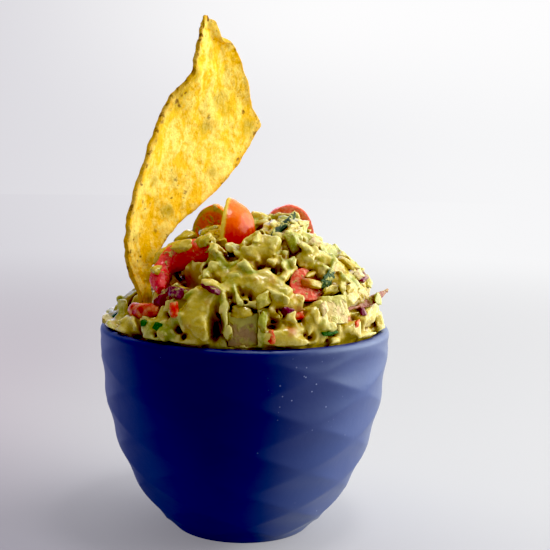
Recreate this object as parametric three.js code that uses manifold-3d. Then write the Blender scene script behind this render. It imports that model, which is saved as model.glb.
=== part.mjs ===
// Guacamole heaped high in a small glazed dip bowl, with a corn chip stood in it and
// pieces of tomato, onion and cilantro lying in the heap.
// Millimetres, +Z up. The origin is the centre of the foot on the surface that the bowl
// stands on, -Y is the front of the bowl and +X its right.

import * as THREE from 'three';
import { mergeVertices } from 'three/addons/utils/BufferGeometryUtils.js';
import Module from 'manifold-3d';

const wasm = await Module();
wasm.setup();

// ---------------------------------------------------------------- driving dimensions

const GAP = 0.3; // clearance between pieces that touch
const CORE_GAP = 0.55; // clearance of the heap's smooth core inside the bowl

const RIM_RADIUS = 44;
const BOWL_HEIGHT = 62.5;
const WALL = 3.3;
const FLOOR_HEIGHT = 6.5; // inside of the bowl's floor above the table
const CUP_DEPTH = 68.9; // depth below the rim at which the cup's curve would close
const CUP_POWERS = { depth: 2.16, radius: 2.19 };
const FOOT_BEVEL = 0.8;
const FOOT_RING = 3.6; // width of the ring that the bowl stands on
const FOOT_RECESS = 1.6; // hollow inside the foot ring

const LOZENGES_ROUND = 7;
const LOZENGE_START = 7.9; // from the rim down the wall to the first ring of ridge crossings
const LOZENGE_HALF = 7.3; // half a lozenge, measured down the wall
const LOZENGE_TURN = 1.7; // degrees that the pattern is turned from the front
const FACETS_PER_HALF = 3; // mesh facets across half a lozenge
const BOWL_SEGMENTS = 2 * LOZENGES_ROUND * FACETS_PER_HALF;
const LIP_STEPS = 4;
const INNER_ROWS = 5;
const SCOOP_DEPTH = 1;
const SCOOP_FADE = { from: 1.8, to: 6, foot: 4 };

const MOUTH_RADIUS = RIM_RADIUS - WALL;
const HEAP_HEIGHT = 29.2;
const PEAK_SHIFT = 6; // the peak leans to the right of the bowl's axis
const HEAP_SLUMP = { right: 0.6, extraLeft: 0.5 };
const CORE_GRID = { segments: 20, bowlRows: 4, moundRows: 5 };

const CHIP_THICKNESS = 1.6;
const CHIP_BULGE = 2.4;
const CHIP_GRID = { columns: 6, rows: 20 };
const LEAF_THICKNESS = 0.6;
const LEAF_GRID = { columns: 4, rows: 6 };

// ---------------------------------------------------------------- helpers

const TAU = 2 * Math.PI;
const radians = THREE.MathUtils.degToRad;
const vector = (x, y, z) => new THREE.Vector3(x, y, z);

// A repeatable stream of numbers from 0 to 1.
function seededDraw(seed) {
  let state = seed >>> 0;
  return () => {
    state = (Math.imul(state, 1664525) + 1013904223) >>> 0;
    return state / 2 ** 32;
  };
}

// Closed three.js geometry to a solid, without the flat triangles that a lathe has on its axis.
function toSolid(geometry) {
  const bare = geometry.clone();
  bare.deleteAttribute('normal');
  bare.deleteAttribute('uv');
  const merged = mergeVertices(bare, 1e-4);
  const corners = Array.from(merged.index.array);
  const kept = [];
  for (let i = 0; i < corners.length; i += 3) {
    const [a, b, c] = corners.slice(i, i + 3);
    if (a !== b && b !== c && c !== a) kept.push(a, b, c);
  }
  return new wasm.Manifold(new wasm.Mesh({
    numProp: 3,
    vertProperties: Float32Array.from(merged.attributes.position.array),
    triVerts: Uint32Array.from(kept),
  }));
}

// Solid back to a geometry that a mesh can hold.
function toGeometry(solid) {
  const mesh = solid.getMesh();
  const geometry = new THREE.BufferGeometry();
  geometry.setAttribute('position', new THREE.BufferAttribute(mesh.vertProperties, 3));
  geometry.setIndex(new THREE.BufferAttribute(mesh.triVerts, 1));
  geometry.computeVertexNormals();
  return geometry;
}

// The largest body of a solid, so that scraps and sealed hollows drop out.
function largestBody(solid) {
  const bodies = solid.decompose();
  return bodies.reduce((best, body) => (body.volume() > best.volume() ? body : best));
}

// Moves every corner of a geometry to where the given function puts it.
function reshape(geometry, move) {
  const position = geometry.attributes.position;
  const corner = new THREE.Vector3();
  for (let i = 0; i < position.count; i += 1) {
    corner.fromBufferAttribute(position, i);
    const moved = move(corner, i);
    position.setXYZ(i, moved.x, moved.y, moved.z);
  }
  return geometry;
}

// Matrix for a piece at a place, turned by degrees about X, then Y, then Z.
function placeMatrix(at, turn = [0, 0, 0]) {
  const [x, y, z] = turn.map(radians);
  const matrix = new THREE.Matrix4().makeRotationFromEuler(new THREE.Euler(x, y, z, 'ZYX'));
  return matrix.setPosition(...at);
}

// A thin solid over a curved patch: a top, a copy of it facing down and a strip round the edge.
// pointAt(u, v) gives the middle of the sheet, with u across and v along it from 0 to 1.
function sheet({ pointAt, columns, rows, thickness }) {
  const grid = new THREE.PlaneGeometry(1, 1, columns, rows);
  const count = grid.attributes.position.count;
  const positions = new Float32Array(count * 6);
  const step = 1e-3;
  for (let i = 0; i < count; i += 1) {
    const u = grid.attributes.position.getX(i) + 0.5;
    const v = grid.attributes.position.getY(i) + 0.5;
    const across = pointAt(u + step, v).sub(pointAt(u - step, v));
    const along = pointAt(u, v + step).sub(pointAt(u, v - step));
    const normal = across.cross(along).normalize().multiplyScalar(thickness / 2);
    const middle = pointAt(u, v);
    middle.clone().add(normal).toArray(positions, i * 3);
    middle.clone().sub(normal).toArray(positions, (count + i) * 3);
  }
  const top = Array.from(grid.index.array);
  const triangles = [...top];
  for (let i = 0; i < top.length; i += 3) {
    triangles.push(top[i] + count, top[i + 2] + count, top[i + 1] + count);
  }
  const width = columns + 1;
  const border = [];
  for (let i = 0; i < columns; i += 1) border.push(i);
  for (let j = 0; j < rows; j += 1) border.push(j * width + columns);
  for (let i = columns; i > 0; i -= 1) border.push(rows * width + i);
  for (let j = rows; j > 0; j -= 1) border.push(j * width);
  border.forEach((from, k) => {
    const to = border[(k + 1) % border.length];
    triangles.push(from, to, to + count, from, to + count, from + count);
  });
  const geometry = new THREE.BufferGeometry();
  geometry.setAttribute('position', new THREE.BufferAttribute(positions, 3));
  geometry.setIndex(triangles);
  return geometry;
}

// ---------------------------------------------------------------- bowl

// Radius of the bowl's outer wall at a depth below the rim.
function wallRadius(depth) {
  const rest = 1 - (depth / CUP_DEPTH) ** CUP_POWERS.depth;
  return RIM_RADIUS * rest ** (1 / CUP_POWERS.radius);
}

// The outer wall as a curve measured from the rim: length, and the point with its outward normal
// a given way down it.
const wallCurve = (() => {
  const steps = 600;
  const depths = [];
  const lengths = [0];
  for (let i = 0; i <= steps; i += 1) {
    depths.push((BOWL_HEIGHT * i) / steps);
    if (i > 0) {
      const fall = depths[i] - depths[i - 1];
      const narrowing = wallRadius(depths[i - 1]) - wallRadius(depths[i]);
      lengths.push(lengths[i - 1] + Math.hypot(fall, narrowing));
    }
  }
  const length = lengths[steps];
  const at = (along) => {
    const i = Math.max(1, lengths.findIndex((value) => value >= Math.min(along, length - 1e-6)));
    const share = (along - lengths[i - 1]) / (lengths[i] - lengths[i - 1]);
    const depth = depths[i - 1] + share * (depths[i] - depths[i - 1]);
    const slope = new THREE.Vector2(
      depths[i] - depths[i - 1],
      wallRadius(depths[i]) - wallRadius(depths[i - 1]),
    ).normalize();
    return {
      point: new THREE.Vector2(wallRadius(depth), BOWL_HEIGHT - depth),
      normal: slope,
    };
  };
  return { length, at };
})();

// A point of the wall moved in from its outer face.
function insideWall(along, inset) {
  const { point, normal } = wallCurve.at(along);
  return point.clone().addScaledVector(normal, -inset);
}

// Depth of the carved scoops at a way down the wall and an angle from the front, in radians.
function scoopDepth(along, angle) {
  const down = (along - LOZENGE_START) / LOZENGE_HALF;
  const round = (angle - radians(LOZENGE_TURN)) / (Math.PI / LOZENGES_ROUND);
  const wrap = (value) => 2 * (value - Math.floor(value)) - 1;
  const first = wrap((round + down + 1) / 2);
  const second = wrap((round - down + 1) / 2);
  const rimFade = THREE.MathUtils.smoothstep(along, SCOOP_FADE.from, SCOOP_FADE.to);
  const footFade = THREE.MathUtils.smoothstep(wallCurve.length - along, 0, SCOOP_FADE.foot);
  return SCOOP_DEPTH * rimFade * footFade * (1 - first ** 2) * (1 - second ** 2);
}

// Lip points from the outer face over the top to the inner face.
function lipArc(grow, steps) {
  const points = [];
  for (let i = 0; i <= steps; i += 1) {
    const angle = (Math.PI * i) / steps;
    const radius = WALL / 2 + grow;
    points.push(new THREE.Vector2(
      RIM_RADIUS - WALL / 2 + radius * Math.cos(angle),
      BOWL_HEIGHT - WALL / 2 + radius * Math.sin(angle),
    ));
  }
  return points;
}

// Inner face of the bowl from the lip down to its floor.
function innerFace(grow, steps) {
  const points = [];
  const first = WALL;
  const last = wallCurve.length - 9;
  for (let i = 0; i <= steps; i += 1) {
    const along = first + ((last - first) * i) / steps;
    const point = insideWall(along, WALL + grow);
    if (point.y > FLOOR_HEIGHT + grow + 1) points.push(point);
  }
  const lowest = points[points.length - 1];
  points.push(new THREE.Vector2(lowest.x - 4.5, FLOOR_HEIGHT + grow));
  points.push(new THREE.Vector2(0, FLOOR_HEIGHT + grow));
  return points;
}

// The bowl: lathe-turned cup whose outer face is carved into lozenge scoops.
function bowlSolid() {
  const segments = BOWL_SEGMENTS;
  const rowStep = LOZENGE_HALF / FACETS_PER_HALF;
  const footRadius = wallRadius(BOWL_HEIGHT - FOOT_BEVEL);
  const standing = footRadius - FOOT_BEVEL;
  const foot = [
    new THREE.Vector2(0, FOOT_RECESS),
    new THREE.Vector2(standing - FOOT_RING - FOOT_RECESS, FOOT_RECESS),
    new THREE.Vector2(standing - FOOT_RING, 0),
    new THREE.Vector2(standing, 0),
  ];
  const rows = [];
  for (let row = -2; LOZENGE_START + row * rowStep < wallCurve.length - 1.6; row += 1) {
    rows.unshift(LOZENGE_START + row * rowStep);
  }
  rows.unshift(wallCurve.length - FOOT_BEVEL);
  const outer = rows.map((along) => wallCurve.at(along).point);
  const points = [...foot, ...outer, ...lipArc(0, LIP_STEPS), ...innerFace(0, INNER_ROWS)];
  const turned = new THREE.LatheGeometry(points, segments, radians(LOZENGE_TURN), TAU);
  const perTurn = points.length;
  reshape(turned, (corner, index) => {
    const row = (index % perTurn) - foot.length;
    if (row < 0 || row >= rows.length) return corner;
    const angle = radians(LOZENGE_TURN) + (TAU * Math.floor(index / perTurn)) / segments;
    const { point, normal } = wallCurve.at(rows[row]);
    const carved = point.clone().addScaledVector(normal, -scoopDepth(rows[row], angle));
    return vector(carved.x * Math.sin(angle), carved.y, carved.x * Math.cos(angle));
  });
  const triangles = [];
  for (let i = 0; i < segments; i += 1) {
    for (let j = 0; j < perTurn - 1; j += 1) {
      const a = j + i * perTurn;
      const b = a + perTurn;
      const c = b + 1;
      const d = a + 1;
      const steps = foot.length + rows.length - 3 - j; // grid rows below the first crossings
      const alongRidge = (((i + steps) % 6) + 6) % 6 === 3;
      if (alongRidge) triangles.push(a, b, c, a, c, d);
      else triangles.push(a, b, d, c, d, b);
    }
  }
  turned.setIndex(triangles);
  return toSolid(turned.rotateX(Math.PI / 2));
}

// Everything that the food stays clear of in the bowl: its wall, lip and floor, a gap larger.
function bowlKeepOut() {
  const outside = RIM_RADIUS + 12;
  const outline = [
    new THREE.Vector2(0, -10),
    new THREE.Vector2(outside, -10),
    new THREE.Vector2(outside, BOWL_HEIGHT - WALL),
    new THREE.Vector2(RIM_RADIUS + GAP, BOWL_HEIGHT - WALL),
    ...lipArc(GAP, LIP_STEPS),
    ...innerFace(GAP, INNER_ROWS),
  ];
  const turned = new THREE.LatheGeometry(outline, BOWL_SEGMENTS, radians(LOZENGE_TURN), TAU);
  return toSolid(turned.rotateX(Math.PI / 2));
}

// ---------------------------------------------------------------- heap

// A point of the heap's smooth core: out runs from 0 at the peak to 1 at the bowl's mouth, and
// around is the angle from +X in radians.
function heapPoint(out, around) {
  const rise = 1 - out * out;
  const slump = HEAP_SLUMP.right + HEAP_SLUMP.extraLeft * Math.max(0, -Math.cos(around)) ** 2;
  return vector(
    out * MOUTH_RADIUS * Math.cos(around) + rise * PEAK_SHIFT,
    out * MOUTH_RADIUS * Math.sin(around),
    BOWL_HEIGHT + HEAP_HEIGHT * rise ** slump,
  );
}

// Local axes on the heap: X runs round it, Y up its slope and Z out of it.
function heapFrame(out, around, lift) {
  const step = 1e-3;
  const point = heapPoint(out, around);
  const round = heapPoint(out, around + step).sub(heapPoint(out, around - step)).normalize();
  const upSlope = heapPoint(out - step, around).sub(heapPoint(out + step, around)).normalize();
  const normal = round.clone().cross(upSlope).normalize();
  const slope = normal.clone().cross(round);
  point.addScaledVector(normal, lift);
  return new THREE.Matrix4().makeBasis(round, slope, normal).setPosition(point);
}

// The smooth core: it fills the bowl and rises into the heap.
function heapCore() {
  const { segments, bowlRows, moundRows } = CORE_GRID;
  const inBowl = innerFace(CORE_GAP, bowlRows).reverse();
  const mound = [];
  for (let i = 0; i <= moundRows; i += 1) {
    const out = 0.985 * Math.sqrt(1 - i / moundRows);
    mound.push(new THREE.Vector2(out * MOUTH_RADIUS, BOWL_HEIGHT));
  }
  const points = [...inBowl, ...mound];
  const turned = new THREE.LatheGeometry(points, segments);
  reshape(turned.rotateX(Math.PI / 2), (corner, index) => {
    const row = index % points.length;
    if (row < inBowl.length) return corner;
    const out = Math.hypot(corner.x, corner.y) / MOUTH_RADIUS;
    return heapPoint(out, Math.atan2(corner.y, corner.x));
  });
  return toSolid(turned);
}

// A knobbly lump: an icosahedron whose corners are pushed in and out.
function lump(matrix, half, detail, draw) {
  const ball = new THREE.IcosahedronGeometry(1, detail);
  ball.deleteAttribute('normal');
  ball.deleteAttribute('uv');
  const knobbly = reshape(mergeVertices(ball, 1e-4), (corner) => (
    corner.multiplyScalar(0.86 + 0.28 * draw()).multiply(vector(...half))
  ));
  return toSolid(knobbly.applyMatrix4(matrix));
}

// The larger pieces of avocado: how far out and round the heap in degrees, lift off the core,
// half sizes round, up and out, and a turn in degrees about the way out.
const DETAILED_CHUNK = 5.5; // chunks with a longer half size than this get more sides
const AVOCADO_CHUNKS = [
  { out: 0.92, around: -113, lift: 0.2, half: [6.4, 8.2, 4.4], turn: -10 },
  { out: 0.94, around: -98.3, lift: 0.6, half: [2.5, 6.4, 3.6], turn: 5 },
  { out: 0.96, around: -84.6, lift: 0.4, half: [2.5, 6.6, 3.2], turn: -4 },
  { out: 0.985, around: -76.6, lift: 0, half: [6.6, 3.8, 4.2], turn: 6 },
  { out: 0.985, around: -130.5, lift: 0, half: [3.8, 3.1, 3.6], turn: 0 },
  { out: 0.985, around: -122, lift: 0, half: [3.7, 3.5, 3.8], turn: 12 },
  { out: 0.96, around: -148, lift: 0.2, half: [4.8, 4.8, 4.4], turn: 30 },
  { out: 0.97, around: -162, lift: 0, half: [4.6, 4.2, 4.0], turn: -15 },
  { out: 0.97, around: -177, lift: 0, half: [4.2, 3.2, 3.6], turn: 0 },
  { out: 0.88, around: 174, lift: 2.6, half: [4.0, 5.8, 3.4], turn: 8 },
  { out: 0.66, around: -110.5, lift: 0.4, half: [5.6, 4.6, 3.6], turn: 0 },
  { out: 0.81, around: -98, lift: 0.2, half: [5.0, 4.0, 3.6], turn: 20 },
  { out: 0.59, around: -92.4, lift: 0.8, half: [2.8, 3.8, 3.2], turn: -25 },
  { out: 0.86, around: -79, lift: 0.4, half: [6.0, 3.3, 3.5], turn: -35 },
  { out: 0.61, around: -61, lift: 0.6, half: [7.0, 3.2, 3.6], turn: -50 },
  { out: 0.7, around: -38, lift: 0.2, half: [5.6, 5.0, 4.0], turn: 0 },
  { out: 0.88, around: -40, lift: 0, half: [5.6, 5.4, 4.2], turn: 40 },
  { out: 0.97, around: -29, lift: 0, half: [6.6, 3.8, 4.0], turn: 4 },
  { out: 0.96, around: -61, lift: 0.2, half: [3.8, 4.8, 3.4], turn: 25 },
  { out: 0.5, around: -22, lift: 0.2, half: [5.0, 4.6, 3.4], turn: 60 },
  { out: 0.24, around: -70, lift: 0.2, half: [5.4, 4.6, 3.0], turn: 0 },
  { out: 0.8, around: -10, lift: 0, half: [5.4, 5.6, 3.6], turn: 15 },
];

// Smaller lumps go round the heap in a spiral, with each third one larger.
const LUMP_COUNT = 78;
const MOST_BURIED = 0.12; // share of a topping that one lump may cover
const GOLDEN_ANGLE = Math.PI * (3 - Math.sqrt(5));
const LUMP_RADIUS = { large: 5.3, small: 3.6 };

function spiralLumps() {
  const draw = seededDraw(20);
  const lumps = [];
  for (let k = 0; k < LUMP_COUNT; k += 1) {
    const climb = 1 - (k + 0.5) / LUMP_COUNT;
    const out = 0.99 * Math.sqrt(1 - climb ** 2) + 0.03 * (draw() - 0.5);
    const around = k * GOLDEN_ANGLE + 0.2 * (draw() - 0.5);
    const base = k % 3 === 0 ? LUMP_RADIUS.large : LUMP_RADIUS.small;
    const radius = base * (0.85 + 0.4 * draw());
    const half = [1.2, 1, 0.85].map((share) => radius * (share + 0.3 * (draw() - 0.5)));
    const turn = 360 * draw();
    lumps.push({
      out: Math.min(out, 0.99),
      around: THREE.MathUtils.radToDeg(around),
      lift: radius * (0.1 - 0.4 * THREE.MathUtils.smoothstep(out, 0.86, 0.98)),
      half,
      turn,
    });
  }
  return lumps;
}

function lumpMatrix({ out, around, lift, turn }) {
  const spin = new THREE.Matrix4().makeRotationZ(radians(turn));
  return heapFrame(out, radians(around), lift).multiply(spin);
}

// ---------------------------------------------------------------- chip and toppings

// Named points that the chip's edges pass through, from the buried corner up to the tip.
const CHIP_FREE_EDGE = [
  vector(-29.4, -13, 62), vector(-30.6, -13.8, 70), vector(-34.9, -15, 82.5),
  vector(-35.3, -15.5, 90), vector(-33.4, -14, 101.2), vector(-29.6, -11.6, 112),
  vector(-25.5, -7, 125.4), vector(-22.2, -5, 131.8), vector(-18.1, -3, 136.5),
  vector(-16.5, -2, 142.8), vector(-15.5, -0.5, 149.1), vector(-14.2, 1, 154.6),
];
const CHIP_LONG_EDGE = [
  vector(-28, -11.8, 62), vector(-28.4, -10, 74), vector(-28.1, -8, 80.7),
  vector(-26.4, -5, 85), vector(-22.3, 2, 91.6), vector(-16.1, 8.5, 97),
  vector(-6.7, 16, 106), vector(-0.6, 21, 114.4), vector(4.1, 24, 122.7),
];
const CHIP_TOP_EDGE = [
  vector(4.1, 24, 122.7), vector(1.2, 20, 129.6), vector(-0.4, 16, 136.4),
  vector(-3.4, 12, 143.4), vector(-6, 9, 147.8), vector(-8.9, 5.6, 149),
  vector(-11.6, 2.6, 154),
];

// The corn chip: a three-cornered curved sheet stood on one corner in the heap.
function chipSheet(grow) {
  const freeEdge = new THREE.CatmullRomCurve3(CHIP_FREE_EDGE);
  const longEdge = new THREE.CatmullRomCurve3(CHIP_LONG_EDGE);
  const topEdge = new THREE.CatmullRomCurve3(CHIP_TOP_EDGE);
  const corner = 0.64; // how far along the chip its third corner lies
  const farEdge = (v) => (v < corner
    ? longEdge.getPoint(v / corner)
    : topEdge.getPoint((v - corner) / (1 - corner)));
  const pointAt = (u, v) => {
    const along = THREE.MathUtils.clamp(v, 0, 1);
    const left = freeEdge.getPoint(along);
    left.z -= grow * Math.max(0, 1 - v * CHIP_GRID.rows);
    const right = farEdge(along);
    right.z -= grow * Math.max(0, 1 - v * CHIP_GRID.rows);
    const across = right.clone().sub(left);
    const beyond = grow / Math.max(across.length(), 1);
    const share = u * (1 + 2 * beyond) - beyond;
    const bulge = CHIP_BULGE * Math.sin(Math.PI * u) * Math.min(1, across.length() / 30);
    const ripple = 0.7 * Math.sin(9 * v + 5 * u) * Math.min(1, across.length() / 30);
    const outward = vector(across.y, -across.x, 0).normalize();
    return left.addScaledVector(across, share).addScaledVector(outward, ripple - bulge);
  };
  return toSolid(sheet({ pointAt, ...CHIP_GRID, thickness: CHIP_THICKNESS + 2 * grow }));
}

// A tomato wedge: a slice of an egg shape between two planes through its long axis. Its axis is
// Z and its skin faces +X before it is turned.
function tomatoWedge({ half, spread, at, turn }, grow) {
  const [across, deep, long] = half.map((size) => size + grow);
  const egg = toSolid(new THREE.SphereGeometry(1, 16, 9).rotateX(Math.PI / 2)
    .scale(across, deep, long));
  const reach = 3 * Math.max(across, deep, long);
  const block = new THREE.BoxGeometry(reach, reach, reach).translate(0, reach / 2 - grow, 0);
  const leftPlane = toSolid(block.clone().rotateZ(radians(-spread / 2)));
  const rightPlane = toSolid(block.clone().rotateZ(radians(spread / 2 + 180)));
  const wedge = egg.intersect(leftPlane).intersect(rightPlane);
  return toSolid(toGeometry(wedge).applyMatrix4(placeMatrix(at, turn)));
}

// A strip with a rounded section that follows a few points.
function curvedStrip({ path, width, height }, grow) {
  const section = new THREE.Shape();
  section.absellipse(0, 0, width / 2 + grow, height / 2 + grow, 0, TAU, false, 0);
  const points = path.map((point) => vector(...point));
  const [first, second] = points;
  const [beforeLast, last] = points.slice(-2);
  first.addScaledVector(first.clone().sub(second).normalize(), grow);
  last.addScaledVector(last.clone().sub(beforeLast).normalize(), grow);
  return toSolid(new THREE.ExtrudeGeometry(section, {
    extrudePath: new THREE.CatmullRomCurve3(points),
    steps: 2 * (path.length - 1) + 1,
    curveSegments: 5,
  }));
}

// A die cut from an onion: part of a ring, so that two of its sides are curved.
function onionDie({ inner, outer, sweep, tall, at, turn }, grow) {
  const half = radians(sweep / 2) + grow / outer;
  const outline = new THREE.Shape();
  outline.absarc(0, 0, outer + grow, -half, half, false);
  outline.absarc(0, 0, inner - grow, half, -half, true);
  const die = new THREE.ExtrudeGeometry(outline, {
    depth: tall + 2 * grow, bevelEnabled: false, curveSegments: 5,
  });
  die.translate(-(inner + outer) / 2, 0, -tall / 2 - grow);
  return toSolid(die.applyMatrix4(placeMatrix(at, turn)));
}

// A leaf or a shaved strip: a wavy sheet along a few points, widest at a share of its length.
function blade({ path, side, width, widest, thickness, wave }, grow) {
  const spine = new THREE.CatmullRomCurve3(path.map((point) => vector(...point)));
  const sideways = vector(...side).normalize();
  const pointAt = (u, v) => {
    const along = THREE.MathUtils.clamp(v, 0, 1);
    const spread = along < widest
      ? Math.sin((Math.PI / 2) * (along / widest)) ** 0.7
      : Math.cos((Math.PI / 2) * ((along - widest) / (1 - widest))) ** 0.7;
    const point = spine.getPoint(along);
    point.addScaledVector(spine.getTangent(along), grow * (2 * along - 1));
    const breadth = width * (0.16 + 0.84 * spread) + 2 * grow;
    point.addScaledVector(sideways, (u - 0.5) * breadth);
    point.z += wave * Math.sin(7 * along + 3.5 * u);
    return point;
  };
  return toSolid(sheet({ pointAt, ...LEAF_GRID, thickness: thickness + 2 * grow }));
}

const COLOUR = {
  glaze: 0x101c6e,
  avocado: 0xaaa550,
  corn: 0xf0c828,
  tomato: 0xc8321e,
  cilantro: 0x2d5028,
  onion: 0xd9d0a0,
  redOnion: 0x84335c,
};

// Each topping: its name, colour and shape.
const TOPPINGS = [
  {
    name: 'tomato_wedge_top', colour: COLOUR.tomato, make: tomatoWedge,
    spec: { half: [10.5, 10.5, 11.8], spread: 72, at: [-6.8, -5, 89.4], turn: [-8, -4, -60] },
  },
  {
    name: 'tomato_back_right', colour: COLOUR.tomato, make: tomatoWedge,
    spec: { half: [10, 10, 8.6], spread: 70, at: [12.8, 12.4, 88.2], turn: [90, -64, 90] },
  },
  {
    name: 'tomato_back_left', colour: COLOUR.tomato, make: tomatoWedge,
    spec: { half: [11, 11, 7], spread: 60, at: [-10.6, 6.5, 87.2], turn: [90, -70, 80] },
  },
  {
    name: 'tomato_front', colour: COLOUR.tomato, make: tomatoWedge,
    spec: { half: [5.4, 5.4, 5.2], spread: 150, at: [17.4, -29.4, 79], turn: [0, 35, 122] },
  },
  {
    name: 'tomato_back_low', colour: COLOUR.tomato, make: tomatoWedge,
    spec: { half: [8, 8, 9], spread: 76, at: [-6, 24, 82], turn: [40, 0, 96] },
  },
  {
    name: 'tomato_slice_left', colour: COLOUR.tomato, make: curvedStrip,
    spec: {
      path: [[-9.8, -18.5, 86.6], [-16.8, -16.5, 85.6], [-22.4, -17, 82.8], [-24.8, -20, 78.6],
        [-24, -25, 75.6]],
      width: 6.4, height: 4.6,
    },
  },
  {
    name: 'tomato_strip_left', colour: COLOUR.tomato, make: curvedStrip,
    spec: {
      path: [[-33.4, -18.4, 69], [-29.8, -24, 69.6], [-24.2, -29, 70.6]],
      width: 4.4, height: 3.4,
    },
  },
  {
    name: 'red_onion_left', colour: COLOUR.redOnion, make: curvedStrip,
    spec: {
      path: [[-25.6, -27.2, 72.4], [-21.4, -29.4, 74], [-16.6, -30.6, 76]],
      width: 4, height: 2.4,
    },
  },
  {
    name: 'red_onion_strip_right', colour: COLOUR.redOnion, make: blade,
    spec: {
      path: [[28.6, -26, 71], [35.4, -20.4, 73.6], [41.8, -13.6, 77.2]],
      side: [-0.3, 0.2, 1], width: 4.4, widest: 0.4, thickness: 1.5, wave: 0.2,
    },
  },
  {
    name: 'onion_dice_front', colour: COLOUR.onion, make: onionDie,
    spec: { inner: 14, outer: 20, sweep: 24, tall: 9.4, at: [-0.6, -37.2, 67.4], turn: [0, 0, -92] },
  },
  {
    name: 'onion_dice_right', colour: COLOUR.onion, make: onionDie,
    spec: { inner: 14, outer: 20, sweep: 24, tall: 8, at: [23.8, -29.4, 71.6], turn: [0, -12, -62] },
  },
  {
    name: 'onion_dice_back', colour: COLOUR.onion, make: onionDie,
    spec: { inner: 14, outer: 20, sweep: 24, tall: 8, at: [17, 30.4, 74], turn: [0, -24, 58] },
  },
  {
    name: 'cilantro_leaf_top', colour: COLOUR.cilantro, make: blade,
    spec: {
      path: [[5.4, -22.6, 89.4], [9.8, -16, 94], [14.4, -5, 97.4]],
      side: [0.5, -0.1, -0.45], width: 6, widest: 0.45, thickness: LEAF_THICKNESS, wave: 0.5,
    },
  },
  {
    name: 'cilantro_leaf_front', colour: COLOUR.cilantro, make: blade,
    spec: {
      path: [[21.4, -27.8, 77.4], [23, -27, 80], [24.2, -25.4, 82.8]],
      side: [0.7, 0.5, -0.2], width: 4, widest: 0.5, thickness: LEAF_THICKNESS, wave: 0.3,
    },
  },
];

// ---------------------------------------------------------------- assembly

const group = new THREE.Group();

function addPiece(name, solid, colour, roughness) {
  const material = new THREE.MeshStandardMaterial({ color: colour, roughness, metalness: 0 });
  const mesh = new THREE.Mesh(toGeometry(solid), material);
  mesh.name = name;
  group.add(mesh);
}

// True where a lump takes up too large a share of a topping's place.
function buries(solid, toppings) {
  return toppings.some((topping) => (
    solid.intersect(topping).volume() > MOST_BURIED * topping.volume()
  ));
}

addPiece('bowl', bowlSolid(), COLOUR.glaze, 0.3);

const keepOut = bowlKeepOut();
const clearances = [keepOut, chipSheet(GAP)];
addPiece('tortilla_chip', chipSheet(0), COLOUR.corn, 0.8);

const toppings = [];
for (const { name, colour, make, spec } of TOPPINGS) {
  const fitted = clearances.reduce((solid, cut) => solid.subtract(cut), make(spec, 0));
  const topping = largestBody(fitted);
  toppings.push(topping);
  clearances.push(make(spec, GAP));
  addPiece(name, topping, colour, 0.35);
}

const lumpDraw = seededDraw(7);
let heap = heapCore();
for (const piece of AVOCADO_CHUNKS) {
  const detail = Math.max(...piece.half) > DETAILED_CHUNK ? 1 : 0;
  heap = heap.add(lump(lumpMatrix(piece), piece.half, detail, lumpDraw));
}
for (const piece of spiralLumps()) {
  const solid = lump(lumpMatrix(piece), piece.half, 0, lumpDraw);
  if (!buries(solid, toppings)) heap = heap.add(solid);
}
heap = clearances.reduce((solid, cut) => solid.subtract(cut), heap);
addPiece('guacamole', largestBody(heap), COLOUR.avocado, 0.5);

export default group;
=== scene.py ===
"""Guacamole heaped in a cobalt-glazed dip bowl, with a corn chip and toppings.

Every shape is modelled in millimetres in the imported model's frame, and is brought to metres when
it is finished. The bowl stands on z = 0, -Y is its front and +X its right.
"""

import logging
import math
from collections.abc import Callable, Iterator, Sequence
from contextlib import contextmanager
from dataclasses import dataclass, field
from enum import Enum

import bmesh
import bpy
import numpy as np
from mathutils import Matrix, Vector, noise
from mathutils.bvhtree import BVHTree


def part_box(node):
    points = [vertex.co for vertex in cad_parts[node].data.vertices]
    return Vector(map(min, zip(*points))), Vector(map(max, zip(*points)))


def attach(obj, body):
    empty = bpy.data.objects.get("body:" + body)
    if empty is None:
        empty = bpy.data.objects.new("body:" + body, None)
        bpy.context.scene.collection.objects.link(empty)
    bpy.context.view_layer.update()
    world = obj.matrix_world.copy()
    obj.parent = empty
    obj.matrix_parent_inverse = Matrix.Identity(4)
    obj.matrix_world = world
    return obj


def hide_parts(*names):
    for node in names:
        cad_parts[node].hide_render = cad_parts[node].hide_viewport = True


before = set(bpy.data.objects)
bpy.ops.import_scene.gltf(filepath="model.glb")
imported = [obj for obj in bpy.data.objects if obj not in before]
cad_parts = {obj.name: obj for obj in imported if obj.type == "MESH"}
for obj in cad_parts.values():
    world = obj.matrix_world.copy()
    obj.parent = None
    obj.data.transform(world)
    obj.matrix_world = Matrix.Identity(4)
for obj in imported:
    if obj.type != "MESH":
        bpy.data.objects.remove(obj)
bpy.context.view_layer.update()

MM = 0.001
BODY = "root"
GOLDEN_ANGLE = math.pi * (3 - math.sqrt(5))

Colour = tuple[float, float, float]
Triple = tuple[float, float, float]
Piece = bpy.types.Object
Material = bpy.types.Material

log = logging.getLogger("guacamole")


# ---- numbers


class Draws:
    """A repeatable stream of numbers from 0 to 1."""

    def __init__(self, seed: int) -> None:
        """Starts the stream at a seed."""
        self.state = seed

    def __call__(self) -> float:
        """Gives the next number."""
        self.state = (self.state * 1664525 + 1013904223) % 2**32
        return self.state / 2**32

    def between(self, low: float, high: float) -> float:
        """Gives the next number between two limits."""
        return low + (high - low) * self()


def smoothstep(value: float, low: float, high: float) -> float:
    """Rises smoothly from 0 at low to 1 at high."""
    share = min(max((value - low) / (high - low), 0.0), 1.0)
    return share * share * (3 - 2 * share)


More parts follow.
